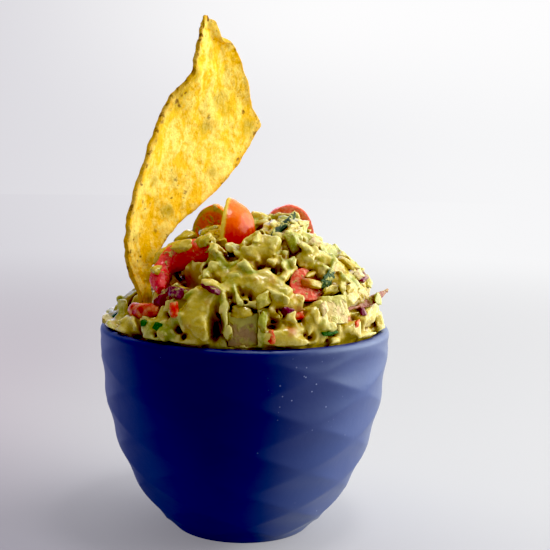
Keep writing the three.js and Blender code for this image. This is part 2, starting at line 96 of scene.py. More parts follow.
def on_curve(points: Sequence[Triple], share: float) -> Vector:
    """Gives a point of the smooth curve that passes through some points.

    Args:
        points: The points, at least two, in order.
        share: How far along, from 0 at the first point to 1 at the last.

    Returns:
        The point on a centripetal Catmull-Rom curve.
    """
    last = len(points) - 1
    place = min(max(share, 0.0), 1.0) * last
    start = min(int(place), last - 1)
    local = place - start
    p1, p2 = Vector(points[start]), Vector(points[start + 1])
    p0 = Vector(points[start - 1]) if start > 0 else 2 * p1 - p2
    p3 = Vector(points[start + 2]) if start + 2 <= last else 2 * p2 - p1
    gap0, gap1, gap2 = (max((far - near).length ** 0.5, 1e-4)
                        for near, far in ((p0, p1), (p1, p2), (p2, p3)))
    slope1 = ((p1 - p0) / gap0 - (p2 - p0) / (gap0 + gap1) + (p2 - p1) / gap1) * gap1
    slope2 = ((p2 - p1) / gap1 - (p3 - p1) / (gap1 + gap2) + (p3 - p2) / gap2) * gap1
    second = -3 * p1 + 3 * p2 - 2 * slope1 - slope2
    third = 2 * p1 - 2 * p2 + slope1 + slope2
    return p1 + slope1 * local + second * local**2 + third * local**3


def turned(at: Triple, turn: Triple) -> Matrix:
    """Places a piece: turned in degrees about X, then Y, then Z, and moved."""
    x, y, z = (math.radians(angle) for angle in turn)
    turns = Matrix.Rotation(z, 4, "Z") @ Matrix.Rotation(y, 4, "Y") @ Matrix.Rotation(x, 4, "X")
    return Matrix.Translation(at) @ turns


# ---- mesh tools


def select_only(*pieces: Piece) -> None:
    """Leaves edit mode and selects just these pieces, the first one active."""
    active = bpy.context.view_layer.objects.active
    if active and active.mode != "OBJECT":
        bpy.ops.object.mode_set(mode="OBJECT")
    bpy.ops.object.select_all(action="DESELECT")
    for piece in pieces:
        piece.select_set(True)
    bpy.context.view_layer.objects.active = pieces[0]


@contextmanager
def editing(piece: Piece) -> Iterator[bmesh.types.BMesh]:
    """Holds a piece in edit mode with nothing selected.

    Args:
        piece: The piece to edit.

    Yields:
        The edited mesh, for selecting faces and edges by place or normal.
    """
    select_only(piece)
    bpy.ops.object.mode_set(mode="EDIT")
    bpy.ops.mesh.select_mode(type="VERT")
    bpy.ops.mesh.select_all(action="DESELECT")
    yield bmesh.from_edit_mesh(piece.data)
    bpy.ops.object.mode_set(mode="OBJECT")


def apply_modifier(piece: Piece, kind: str, **settings: object) -> None:
    """Adds a modifier to a piece and applies it.

    Args:
        piece: The piece to change.
        kind: The modifier's type.
        **settings: The modifier's own settings.
    """
    select_only(piece)
    modifier = piece.modifiers.new(kind.lower(), kind)
    for name, value in settings.items():
        setattr(modifier, name, value)
    bpy.ops.object.modifier_apply(modifier=modifier.name)


def remesh(piece: Piece, voxel: float) -> None:
    """Rebuilds a piece's skin from even faces of a given size in millimetres."""
    apply_modifier(piece, "REMESH", mode="VOXEL", voxel_size=voxel)


def smooth(piece: Piece, rounds: int) -> None:
    """Draws each vertex of a piece towards its neighbours a number of times."""
    apply_modifier(piece, "SMOOTH", factor=0.5, iterations=rounds)


def roughen(piece: Piece, size: float, strength: float, detail: int) -> None:
    """Pushes a piece's surface in and out by a procedural pattern of clouds.

    Args:
        piece: The piece to change.
        size: The pattern's size in millimetres.
        strength: How far the surface moves in millimetres.
        detail: How many finer layers the pattern has.
    """
    pattern = bpy.data.textures.new("relief", "CLOUDS")
    pattern.noise_scale = size
    pattern.noise_depth = detail
    apply_modifier(piece, "DISPLACE", texture=pattern, texture_coords="LOCAL",
                   strength=strength, mid_level=0.5)
    bpy.data.textures.remove(pattern)


def slice_off(piece: Piece, at: Vector | Triple, normal: Vector | Triple,
              **side: bool) -> None:
    """Cuts a piece by a plane, drops one side of it and closes the cut.

    Args:
        piece: The piece to cut.
        at: A point of the plane.
        normal: The plane's normal.
        **side: clear_outer drops the side that the normal points to, clear_inner the other.
    """
    with editing(piece):
        bpy.ops.mesh.select_all(action="SELECT")
        bpy.ops.mesh.bisect(plane_co=at, plane_no=normal, use_fill=True, **side)


def join(pieces: Sequence[Piece]) -> Piece:
    """Joins two or more pieces into the first of them."""
    select_only(*pieces)
    bpy.ops.object.join()
    return pieces[0]


def copy_of(piece: Piece, place: Matrix) -> Piece:
    """Copies a piece, with a mesh of its own, to another place."""
    twin = piece.copy()
    twin.data = piece.data.copy()
    twin.data.transform(place)
    bpy.context.scene.collection.objects.link(twin)
    return twin


def discard(*pieces: Piece) -> None:
    """Removes pieces that were only needed on the way."""
    for piece in pieces:
        bpy.data.objects.remove(piece)


def corners_of(piece: Piece, what: str = "co") -> np.ndarray:
    """Gives the places of a mesh's vertices, or with "normal" their normals, one row each."""
    rows = np.zeros(len(piece.data.vertices) * 3)
    piece.data.vertices.foreach_get(what, rows)
    return rows.reshape(-1, 3)


def place_corners(piece: Piece, places: np.ndarray) -> None:
    """Moves a mesh's vertices to the given places."""
    piece.data.vertices.foreach_set("co", places.ravel())
    piece.data.update()


def reshape(piece: Piece, move: Callable[[Vector], Vector]) -> None:
    """Moves every vertex of a piece to where a function puts it."""
    for corner in piece.data.vertices:
        corner.co = move(corner.co.copy())
    piece.data.update()


def tree_of(*pieces: Piece, nodes: Sequence[str] = ()) -> BVHTree:
    """Makes a search tree of faces, for finding what lies where.

    Args:
        *pieces: Pieces in millimetres.
        nodes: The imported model's solids to add, by name.

    Returns:
        The tree, in millimetres.
    """
    parts = [(piece, 1.0) for piece in pieces]
    parts += [(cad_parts[name], 1 / MM) for name in nodes]
    corners, faces = [], []
    for piece, scale in parts:
        first = len(corners)
        corners += [corner.co * scale for corner in piece.data.vertices]
        faces += [tuple(first + index for index in face.vertices)
                  for face in piece.data.polygons]
    return BVHTree.FromPolygons(corners, faces)


def openness(piece: Piece, tree: BVHTree, reach: float, rays: int = 26) -> np.ndarray:
    """Measures how open each vertex of a piece is to its surroundings.

    Args:
        piece: The piece to measure.
        tree: What may stand in the way.
        reach: How far it looks in millimetres.
        rays: How many directions it looks in, all round.

    Returns:
        From 0 for closed in to 1 for open, for each vertex.
    """
    looks = []
    for k in range(rays):
        height = 1 - 2 * (k + 0.5) / rays
        flat = math.sqrt(1 - height**2)
        looks.append(Vector((flat * math.cos(k * GOLDEN_ANGLE), flat * math.sin(k * GOLDEN_ANGLE),
                             height)))
    off_surface, least_facing = 0.2, 0.15
    result = np.ones(len(piece.data.vertices))
    for corner in piece.data.vertices:
        normal = corner.normal
        start = corner.co + off_surface * normal
        seen = whole = 0.0
        for look in looks:
            facing = normal.dot(look)
            if facing < least_facing:
                continue
            distance = tree.ray_cast(start, look, reach)[3]
            whole += facing
            seen += facing if distance is None else facing * distance / reach
        result[corner.index] = seen / max(whole, 1e-6)
    return result


def store(piece: Piece, name: str, values: np.ndarray | float) -> None:
    """Keeps a number for each vertex, or one for all, under a name that a material reads."""
    attribute = piece.data.attributes.new(name, "FLOAT", "POINT")
    attribute.data.foreach_set("value", np.full(len(piece.data.vertices), values, np.float32))


def mottle(piece: Piece, frequency: float) -> None:
    """Keeps soft patches on a piece as its cut places, the finer the higher the frequency."""
    store(piece, "cut", np.array([
        0.5 + 0.5 * noise.noise(corner.co * frequency) for corner in piece.data.vertices]))


def spots(places: np.ndarray, marks: Sequence[tuple[Sequence[float], float, float]]) -> np.ndarray:
    """Gives the height of some round, soft spots at each of some places.

    Args:
        places: The places, one row each.
        marks: The spots' middles, radii and heights.

    Returns:
        The height of the highest spot, for each place.
    """
    amount = np.zeros(len(places))
    for centre, radius, height in marks:
        distance = np.linalg.norm(places - np.array(centre), axis=1)
        amount = np.maximum(amount, height * np.exp(-((distance / radius) ** 2)))
    return amount


def face_outwards(piece: Piece) -> None:
    """Merges doubled vertices of a piece and turns its faces outwards."""
    with editing(piece):
        bpy.ops.mesh.select_all(action="SELECT")
        bpy.ops.mesh.remove_doubles(threshold=1e-4)
        bpy.ops.mesh.normals_make_consistent(inside=False)


def thicken(sheet: Piece, thickness: float) -> None:
    """Gives a sheet its thickness, half to each side, and rounds its edges."""
    apply_modifier(sheet, "SOLIDIFY", thickness=thickness, offset=0.0, use_even_offset=False)
    face_outwards(sheet)
    apply_modifier(sheet, "SUBSURF", levels=1, render_levels=1)


def rod(sides: int, rings: int, radius: float, tall: float) -> Piece:
    """Makes an upright rod round the origin.

    Args:
        sides: How many sides it has.
        rings: How many rings of vertices lie between its ends.
        radius: Its radius.
        tall: Its height.

    Returns:
        The rod.
    """
    bpy.ops.mesh.primitive_cylinder_add(vertices=sides, radius=radius, depth=tall,
                                        end_fill_type="NGON")
    bar = bpy.context.object
    with editing(bar) as mesh:
        for edge in mesh.edges:
            edge.select = abs(edge.verts[0].co.z - edge.verts[1].co.z) > tall / 2
        bpy.ops.mesh.subdivide_edgering(number_cuts=rings)
    return bar


def settle(piece: Piece, name: str, slot: str, nodes: Sequence[str],
           finish: Material) -> None:
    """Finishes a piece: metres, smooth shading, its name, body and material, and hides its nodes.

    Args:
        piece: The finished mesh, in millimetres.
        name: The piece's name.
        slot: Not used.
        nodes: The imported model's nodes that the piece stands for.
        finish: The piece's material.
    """
    select_only(piece)
    bpy.ops.object.transform_apply(location=True, rotation=True, scale=True)
    piece.data.transform(Matrix.Scale(MM, 4))
    piece.data.polygons.foreach_set("use_smooth", [True] * len(piece.data.polygons))
    piece.data.update()
    piece.name = piece.data.name = name
    piece.data.materials.clear()
    piece.data.materials.append(finish)
    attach(piece, BODY)
    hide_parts(*nodes)
    piece.data.calc_loop_triangles()
    log.info("%s: %d triangles", name, len(piece.data.loop_triangles))


# ---- shader tools


class Signal:
    """A shader socket that takes part in Python arithmetic."""

    def __init__(self, shader: "Shader", socket: bpy.types.NodeSocket) -> None:
        """Wraps an output socket of a shader."""
        self.shader = shader
        self.socket = socket

    def __add__(self, other: "Signal | float") -> "Signal":
        """Adds a value."""
        return self.shader.math("ADD", self, other)

    __radd__ = __add__

    def __sub__(self, other: "Signal | float") -> "Signal":
        """Takes a value away."""
        return self.shader.math("SUBTRACT", self, other)

    def __rsub__(self, other: float) -> "Signal":
        """Takes this signal away from a number."""
        return self.shader.math("SUBTRACT", other, self)

    def __mul__(self, other: "Signal | float") -> "Signal":
        """Multiplies by a value."""
        return self.shader.math("MULTIPLY", self, other)

    __rmul__ = __mul__

    def __truediv__(self, other: "Signal | float") -> "Signal":
        """Divides by a value."""
        return self.shader.math("DIVIDE", self, other)

    def rise(self, low: float, high: float) -> "Signal":
        """Gives 0 up to low and 1 from high, with a smooth rise between them."""
        return self.shader.value("MapRange", {"Value": self, "From Min": low, "From Max": high},
                                 "Result", interpolation_type="SMOOTHSTEP")


class Shader:
    """Builds the nodes of one material or world."""

    def __init__(self, holder: Material | bpy.types.World) -> None:
        """Starts a new material or world with no nodes."""
        holder.use_nodes = True
        self.holder = holder
        self.tree = holder.node_tree
        self.tree.nodes.clear()

    def node(self, kind: str, inputs: dict[str | int, object] | None = None,
             **settings: object) -> bpy.types.Node:
        """Adds a node.

        Args:
            kind: The node's type, without the ShaderNode that it starts with.
            inputs: Values or signals for its sockets, by name or number.
            **settings: The node's own settings, which are set first.

        Returns:
            The node.
        """
        node = self.tree.nodes.new(f"ShaderNode{kind}")
        for name, value in settings.items():
            setattr(node, name, value)
        for name, value in (inputs or {}).items():
            if isinstance(value, Signal):
                self.tree.links.new(value.socket, node.inputs[name])
            else:
                node.inputs[name].default_value = value
        return node

    def value(self, kind: str, inputs: dict[str | int, object] | None = None,
              output: str | int = 0, **settings: object) -> Signal:
        """Adds a node, as node does, and gives one of its outputs by name or number."""
        return Signal(self, self.node(kind, inputs, **settings).outputs[output])

    def math(self, operation: str, first: Signal | float, second: Signal | float) -> Signal:
        """Adds a Math node on two values."""
        return self.value("Math", {0: first, 1: second}, operation=operation)

    def ray(self, kind: str) -> Signal:
        """Gives 1 for rays of a kind, such as Camera or Glossy, and 0 for all others."""
        return self.value("LightPath", output=f"Is {kind} Ray")

    def place(self) -> Signal:
        """Gives the surface point in millimetres."""
        point = self.value("TexCoord", output="Object")
        return self.value("VectorMath", {0: point, "Scale": 1 / MM}, operation="SCALE")

    def axis(self, place: Signal, letter: str) -> Signal:
        """Gives one coordinate of a point."""
        return self.value("SeparateXYZ", {0: place}, letter)

    def stretched(self, place: Signal, scale: Triple, turn: Triple = (0, 0, 0)) -> Signal:
        """Gives a point for a pattern that is turned, in degrees, and scaled along its axes."""
        rotation = tuple(math.radians(angle) for angle in turn)
        return self.value("Mapping", {"Vector": place, "Rotation": rotation, "Scale": scale})

    def cloud(self, place: Signal, size: float, detail: float = 3.0, rough: float = 0.55,
              twist: float = 0.0) -> Signal:
        """Gives soft noise from 0 to 1.

        Args:
            place: The point to read it at.
            size: The size of its blobs in millimetres.
            detail: How many finer layers it has.
            rough: How strong the finer layers are.
            twist: How far it is distorted.

        Returns:
            The noise.
        """
        return self.value("TexNoise", {
            "Vector": place, "Scale": 1 / size, "Detail": detail, "Roughness": rough,
            "Distortion": twist}, "Fac")

    def cells(self, place: Signal, size: float, feature: str = "F1") -> Signal:
        """Gives the distance to the nearest cell centre, in cell sizes."""
        return self.value("TexVoronoi", {"Vector": place, "Scale": 1 / size}, "Distance",
                          feature=feature)

    def attribute(self, name: str) -> Signal:
        """Reads a number that the mesh keeps for each vertex."""
        return self.value("Attribute", {}, "Fac", attribute_name=name)

    def mix(self, share: Signal | float, first: Signal | Colour, second: Signal | Colour,
            blend: str = "MIX") -> Signal:
        """Mixes two colours.

        Args:
            share: 0 for the first colour and 1 for the second.
            first: The first colour.
            second: The second colour.
            blend: How they are mixed.

        Returns:
            The mixed colour.
        """
        first, second = (c if isinstance(c, Signal) else (*c, 1) for c in (first, second))
        factor, side_a, side_b, result = 0, 6, 7, 2
        return self.value("Mix", {factor: share, side_a: first, side_b: second}, result,
                          data_type="RGBA", blend_type=blend)

    def bump(self, height: Signal, depth: float, under: Signal | None = None) -> Signal:
        """Gives a normal for relief that is too fine for the mesh.

        Args:
            height: The relief, from 0 to 1.
            depth: The relief's height in millimetres.
            under: Coarser relief that this lies on.

        Returns:
            The bumped normal.
        """
        inputs = {"Height": height, "Distance": depth * MM}
        if under:
            inputs["Normal"] = under
        return self.value("Bump", inputs)

    def show(self, surface: Signal, end: str = "OutputMaterial") -> Material | bpy.types.World:
        """Links a surface to the output node, and gives the material or world."""
        self.node(end, {0: surface})
        return self.holder

    def finish(self, **surface: object) -> Material:
        """Ends the material with its surface.

        Args:
            **surface: The surface's socket values, with _ for each space.

        Returns:
            The material.
        """
        inputs = {name.replace("_", " "): value for name, value in surface.items()}
        for name, value in inputs.items():
            if isinstance(value, tuple) and name.endswith(("Color", "Tint")):
                inputs[name] = (*value, 1)
        return self.show(self.value("BsdfPrincipled", inputs, subsurface_method="RANDOM_WALK"))


def new_shader(name: str) -> Shader:
    """Starts a material with no nodes."""
    return Shader(bpy.data.materials.new(name))


# ---- finishes


@dataclass(frozen=True)
class CobaltGlaze:
    """Satin cobalt glaze with fine pale specks, painted lighter towards the sides and the foot."""

    deep: Colour = (0.0006, 0.006, 0.132)
    lit_blue: Colour = (0.024, 0.048, 0.225)
    speck: Colour = (0.30, 0.34, 0.58)
    roughness: float = 0.47
    dusty: Triple = (17.0, -37.0, 49.0)

    def material(self) -> Material:
        """Makes the glaze, with more specks round one dusty place."""
        shader = new_shader("cobalt_glaze")
        place = shader.place()
        across, height = shader.axis(place, "X"), shader.axis(place, "Z")
        # Painted light: the blue is lighter towards the sides and the foot, where the bowl catches
        # more light.
        painted_light = across * across / 1300 + (42 - height) / 48
        painted_light = painted_light + 0.5 * (shader.cloud(place, 26.0, 2.0) - 0.5)
        colour = shader.mix(painted_light.rise(0.0, 1.0), self.deep, self.lit_blue)
        distance = shader.value("VectorMath", {0: place, 1: self.dusty}, "Value",
                                operation="DISTANCE")
        near = 1 - distance.rise(4.0, 15.0)
        patch = shader.cloud(place, 16.0, 1.0).rise(0.50, 0.62)
        for size, reach, share in ((6.5, 0.05, patch), (2.2, 0.13, near)):
            specks = (1 - shader.cells(place, size).rise(0.5 * reach, reach)) * share
            colour = shader.mix(specks * 0.85, colour, self.speck)
        smear = shader.cloud(place, 9.0, 4.0, 0.6)
        roughness = self.roughness + 0.12 * (smear - 0.5)
        ripple = shader.cloud(place, 3.0, 2.0)
        return shader.finish(Base_Color=colour, Roughness=roughness, Specular_IOR_Level=0.95,
                             Specular_Tint=(0.70, 0.87, 1.0),
                             Normal=shader.bump(ripple, 0.05))


@dataclass(frozen=True)
class MashedAvocado:
    """Moist avocado mash: yellow-green lumps, with painted olive shade in the hollows between them
    and a painted cream highlight on their ridges.
    """

    yellow: Colour = (0.56, 0.41, 0.046)
    green: Colour = (0.33, 0.34, 0.036)
    amber: Colour = (0.47, 0.22, 0.022)
    # Pale is a painted highlight for the ridges; olive and hollow are painted shade for the hollows.
    pale: Colour = (0.84, 0.73, 0.23)
    shade_olive: Colour = (0.35, 0.19, 0.016)
    hollow: Colour = (0.050, 0.014, 0.003)
    tomato: Colour = (0.42, 0.045, 0.012)
    onion: Colour = (0.16, 0.010, 0.040)

    def material(self) -> Material:
        """Makes the mash, which reads the numbers that the heap keeps for each vertex."""
        shader = new_shader("mashed_avocado")
        place = shader.place()
        tint, relief = shader.attribute("tint"), shader.attribute("relief")
        blotch = shader.cloud(place, 2.4, 4.0, 0.6, 0.6)
        stain = shader.cloud(place, 4.2, 3.0, 0.6)
        fine = shader.cloud(place, 0.75, 3.0, 0.65, 0.4)
        colour = shader.mix((tint + 0.8 * (blotch - 0.5)).rise(0.15, 0.85), self.yellow, self.green)
        colour = shader.mix(stain.rise(0.54, 0.72) * 0.65, colour, self.amber)
        shade = shader.attribute("open") + 0.22 * (blotch - 0.5) + 0.25 * (relief - 0.5)
        # Painted highlight: pale cream on ridges that stand out in the open.
        painted_highlight = (relief + 0.5 * (fine - 0.5) + 0.6 * (blotch - 0.5)).rise(0.54, 0.90)
        colour = shader.mix(painted_highlight * shade.rise(0.6, 0.95) * 0.6, colour, self.pale)
        # Painted shade: olive, then near black, where the heap is closed in.
        colour = shader.mix((0.90 - shade).rise(0.0, 0.36), colour, self.shade_olive)
        colour = shader.mix((0.55 - shade).rise(0.0, 0.24), colour, self.hollow)
        for name, most, juice in (("red", 0.75, self.tomato), ("purple", 0.8, self.onion)):
            amount = (shader.attribute(name) + 0.5 * (blotch - 0.5)).rise(0.3, 0.8)
            colour = shader.mix(amount * most, colour, juice)
        folds = shader.bump(shader.cloud(place, 1.5, 2.0, 0.5, 0.4), 0.24)
        grain = shader.bump(fine, 0.06, folds)
        wet = 0.22 + 0.30 * blotch.rise(0.40, 0.72)
        return shader.finish(Base_Color=colour, Roughness=wet, Coat_Weight=0.6,
                             Coat_Roughness=0.05, Specular_IOR_Level=0.2,
                             Subsurface_Weight=0.08, Subsurface_Radius=(1.0, 0.8, 0.3),
                             Subsurface_Scale=0.0010, Normal=grain)


@dataclass(frozen=True)
class FriedCorn:
    """Yellow corn chip with toasted freckles, paler blisters and painted olive shadows beside them.
    """

    corn: Colour = (0.90, 0.535, 0.016)
    pale: Colour = (0.93, 0.71, 0.15)
    deep: Colour = (0.74, 0.38, 0.006)
    amber: Colour = (0.50, 0.24, 0.006)
    shade_olive: Colour = (0.42, 0.28, 0.006)
    toasted: Colour = (0.16, 0.06, 0.008)

    def material(self) -> Material:
        """Makes the chip's surface, which reads the marks that its mesh keeps."""
        shader = new_shader("fried_corn")
        place = shader.place()
        streaked = shader.stretched(place, (1, 1, 0.5), (0, 12, 0))
        broad = shader.cloud(streaked, 4.2, 4.0, 0.6, 0.5)
        mottle = shader.cloud(place, 1.8, 4.0, 0.7)
        fine = shader.cloud(place, 0.6, 3.0, 0.7)
        colour = shader.mix((0.6 * broad + 0.4 * mottle).rise(0.42, 0.58), self.corn, self.pale)
        colour = shader.mix((1 - mottle).rise(0.48, 0.66) * 0.48, colour, self.deep)
        colour = shader.mix((1 - fine).rise(0.50, 0.66) * 0.35, colour, self.deep)
        blister = shader.attribute("blister")
        colour = shader.mix(blister.rise(0.3, 1.0) * 0.45, colour, self.pale)
        # Painted shadow: olive patches beside the blisters.
        shadow = shader.attribute("shadow") + 0.5 * (mottle - 0.5)
        colour = shader.mix(shadow.rise(0.12, 0.90) * 0.55, colour, self.shade_olive)
        edge = shader.attribute("edge")
        colour = shader.mix((edge + 0.9 * (mottle - 0.5)).rise(0.2, 1.0) * 0.6, colour, self.amber)
        spots = shader.cells(place, 6.5) + 0.25 * (fine - 0.5)
        freckles = (1 - spots.rise(0.05, 0.15)) * shader.cloud(place, 11.0, 2.0).rise(0.42, 0.6)
        grains = 1 - (shader.cells(place, 1.7) + 0.3 * (fine - 0.5)).rise(0.06, 0.18)
        grains = grains * shader.cloud(place, 6.0, 2.0).rise(0.42, 0.60) * 0.55
        toast = edge.rise(0.1, 0.8) * shader.cloud(place, 1.9, 3.0).rise(0.54, 0.68) * 0.8
        marks = (shader.attribute("freckle") + 0.6 * (fine - 0.5)).rise(0.35, 0.75)
        for share in (freckles * 0.7, grains, toast, marks * 0.85):
            colour = shader.mix(share, colour, self.toasted)
        pits = shader.bump(mottle, 0.34)
        meal = shader.bump(fine, 0.13, pits)
        return shader.finish(Base_Color=colour, Roughness=0.66 + 0.2 * (fine - 0.5),
                             Specular_IOR_Level=0.15, Subsurface_Weight=0.15,
                             Subsurface_Radius=(1.0, 0.6, 0.15), Subsurface_Scale=0.0015,
                             Normal=meal)


@dataclass(frozen=True)
class WetTomato:
    """Wet tomato: orange to red skin, and paler flesh where it is cut."""

    orange: Colour = (0.86, 0.16, 0.012)
    red: Colour = (0.62, 0.022, 0.008)
    flesh: Colour = (0.80, 0.20, 0.07)
    pale: Colour = (0.80, 0.55, 0.16)
    coat: Colour = (0.58, 0.50, 0.12)
    edge: Colour = (0.74, 0.62, 0.09)
    edged: float = 0.0
    coated: float = 0.3
    name: str = "wet_tomato"
    warm_up: float = 92.0

    def material(self) -> Material:
        """Makes the tomato, which reads where its mesh is cut."""
        shader = new_shader(self.name)
        place = shader.place()
        height = shader.axis(place, "Z")
        streak = shader.cloud(shader.stretched(place, (1, 1, 0.35)), 1.6, 3.0, 0.6)
        warm = ((height - self.warm_up) / 12 + 0.9 * (streak - 0.5)).rise(-0.45, 0.5)
        colour = shader.mix(warm, self.red, self.orange)
        cut = shader.attribute("cut")
        grain = shader.cloud(place, 1.1, 4.0, 0.65)
        flesh = shader.mix(grain.rise(0.42, 0.7), self.flesh, self.pale)
        colour = shader.mix(cut.rise(0.25, 0.8) * 0.8, colour, flesh)
        rim = shader.attribute("rim") + 0.5 * (grain - 0.5)
        colour = shader.mix(rim.rise(0.2, 0.75) * self.edged, colour, self.edge)
        smear = shader.cloud(place, 2.2, 3.0, 0.6, 0.4)
        colour = shader.mix(smear.rise(0.74 - self.coated, 0.80 - self.coated), colour, self.coat)
        bump = shader.bump(smear.rise(0.70 - self.coated, 0.84 - self.coated), 0.3)
        fibre = shader.bump(grain, 0.08, bump)
        return shader.finish(Base_Color=colour, Roughness=0.24 + 0.25 * grain.rise(0.4, 0.8),
                             Coat_Weight=0.22, Coat_Roughness=0.04, Specular_IOR_Level=0.15,
                             Subsurface_Weight=0.08,
                             Subsurface_Radius=(1.0, 0.25, 0.1), Subsurface_Scale=0.002,
                             Normal=fibre)


@dataclass(frozen=True)
class WetOnion:
    """Wet onion with faint layer lines, partly coated in mash."""

    body: Colour = (0.80, 0.72, 0.42)
    line: Colour = (0.62, 0.50, 0.24)
    coat: Colour = (0.58, 0.52, 0.12)
    coated: float = 0.3
    name: str = "white_onion"
    cap: float = 200.0

    def material(self) -> Material:
        """Makes the onion, whose top is smeared with mash above its cap height."""
        shader = new_shader(self.name)
        place = shader.place()
        layers = shader.cloud(shader.stretched(place, (1, 1, 0.3)), 1.3, 3.0, 0.6)
        colour = shader.mix(layers.rise(0.40, 0.85), self.body, self.line)
        smear = shader.cloud(place, 2.4, 3.0, 0.6, 0.4)
        smear = smear + 0.5 * (shader.axis(place, "Z") - self.cap).rise(-1.5, 1.5)
        colour = shader.mix(smear.rise(0.64 - self.coated, 0.84 - self.coated), colour, self.coat)
        bump = shader.bump(smear.rise(0.60 - self.coated, 0.88 - self.coated), 0.3)
        return shader.finish(Base_Color=colour, Roughness=0.28 + 0.2 * (layers - 0.5),
                             Coat_Weight=0.2, Coat_Roughness=0.12, Specular_IOR_Level=0.3,
                             Subsurface_Weight=0.15,
                             Subsurface_Radius=(1.0, 0.9, 0.6), Subsurface_Scale=0.002,
                             Normal=shader.bump(layers, 0.03, bump))


@dataclass(frozen=True)
class CilantroLeaf:
    """Wet dark leaf with paler veins and drops of mash."""

    leaf: Colour = (0.010, 0.032, 0.011)
    light: Colour = (0.035, 0.085, 0.020)
    coat: Colour = (0.50, 0.48, 0.14)
    coated: float = 0.16
    name: str = "cilantro"

    def material(self) -> Material:
        """Makes the leaf."""
        shader = new_shader(self.name)
        place = shader.place()
        veins = shader.cells(place, 1.6, "DISTANCE_TO_EDGE")
        colour = shader.mix((1 - veins.rise(0.02, 0.10)) * 0.55, self.leaf, self.light)
        mottle = shader.cloud(place, 2.0, 3.0)
        colour = shader.mix(mottle.rise(0.5, 0.8) * 0.6, colour, self.light)
        smear = shader.cloud(place, 1.8, 3.0, 0.6, 0.4)
        colour = shader.mix(smear.rise(0.74 - self.coated, 0.80 - self.coated), colour, self.coat)
        return shader.finish(Base_Color=colour, Roughness=0.45 + 0.2 * (mottle - 0.5),
                             Coat_Weight=0.1, Coat_Roughness=0.05, Specular_IOR_Level=0.06,
                             Normal=shader.bump(veins.rise(0.0, 0.12), 0.12))


# ---- bowl


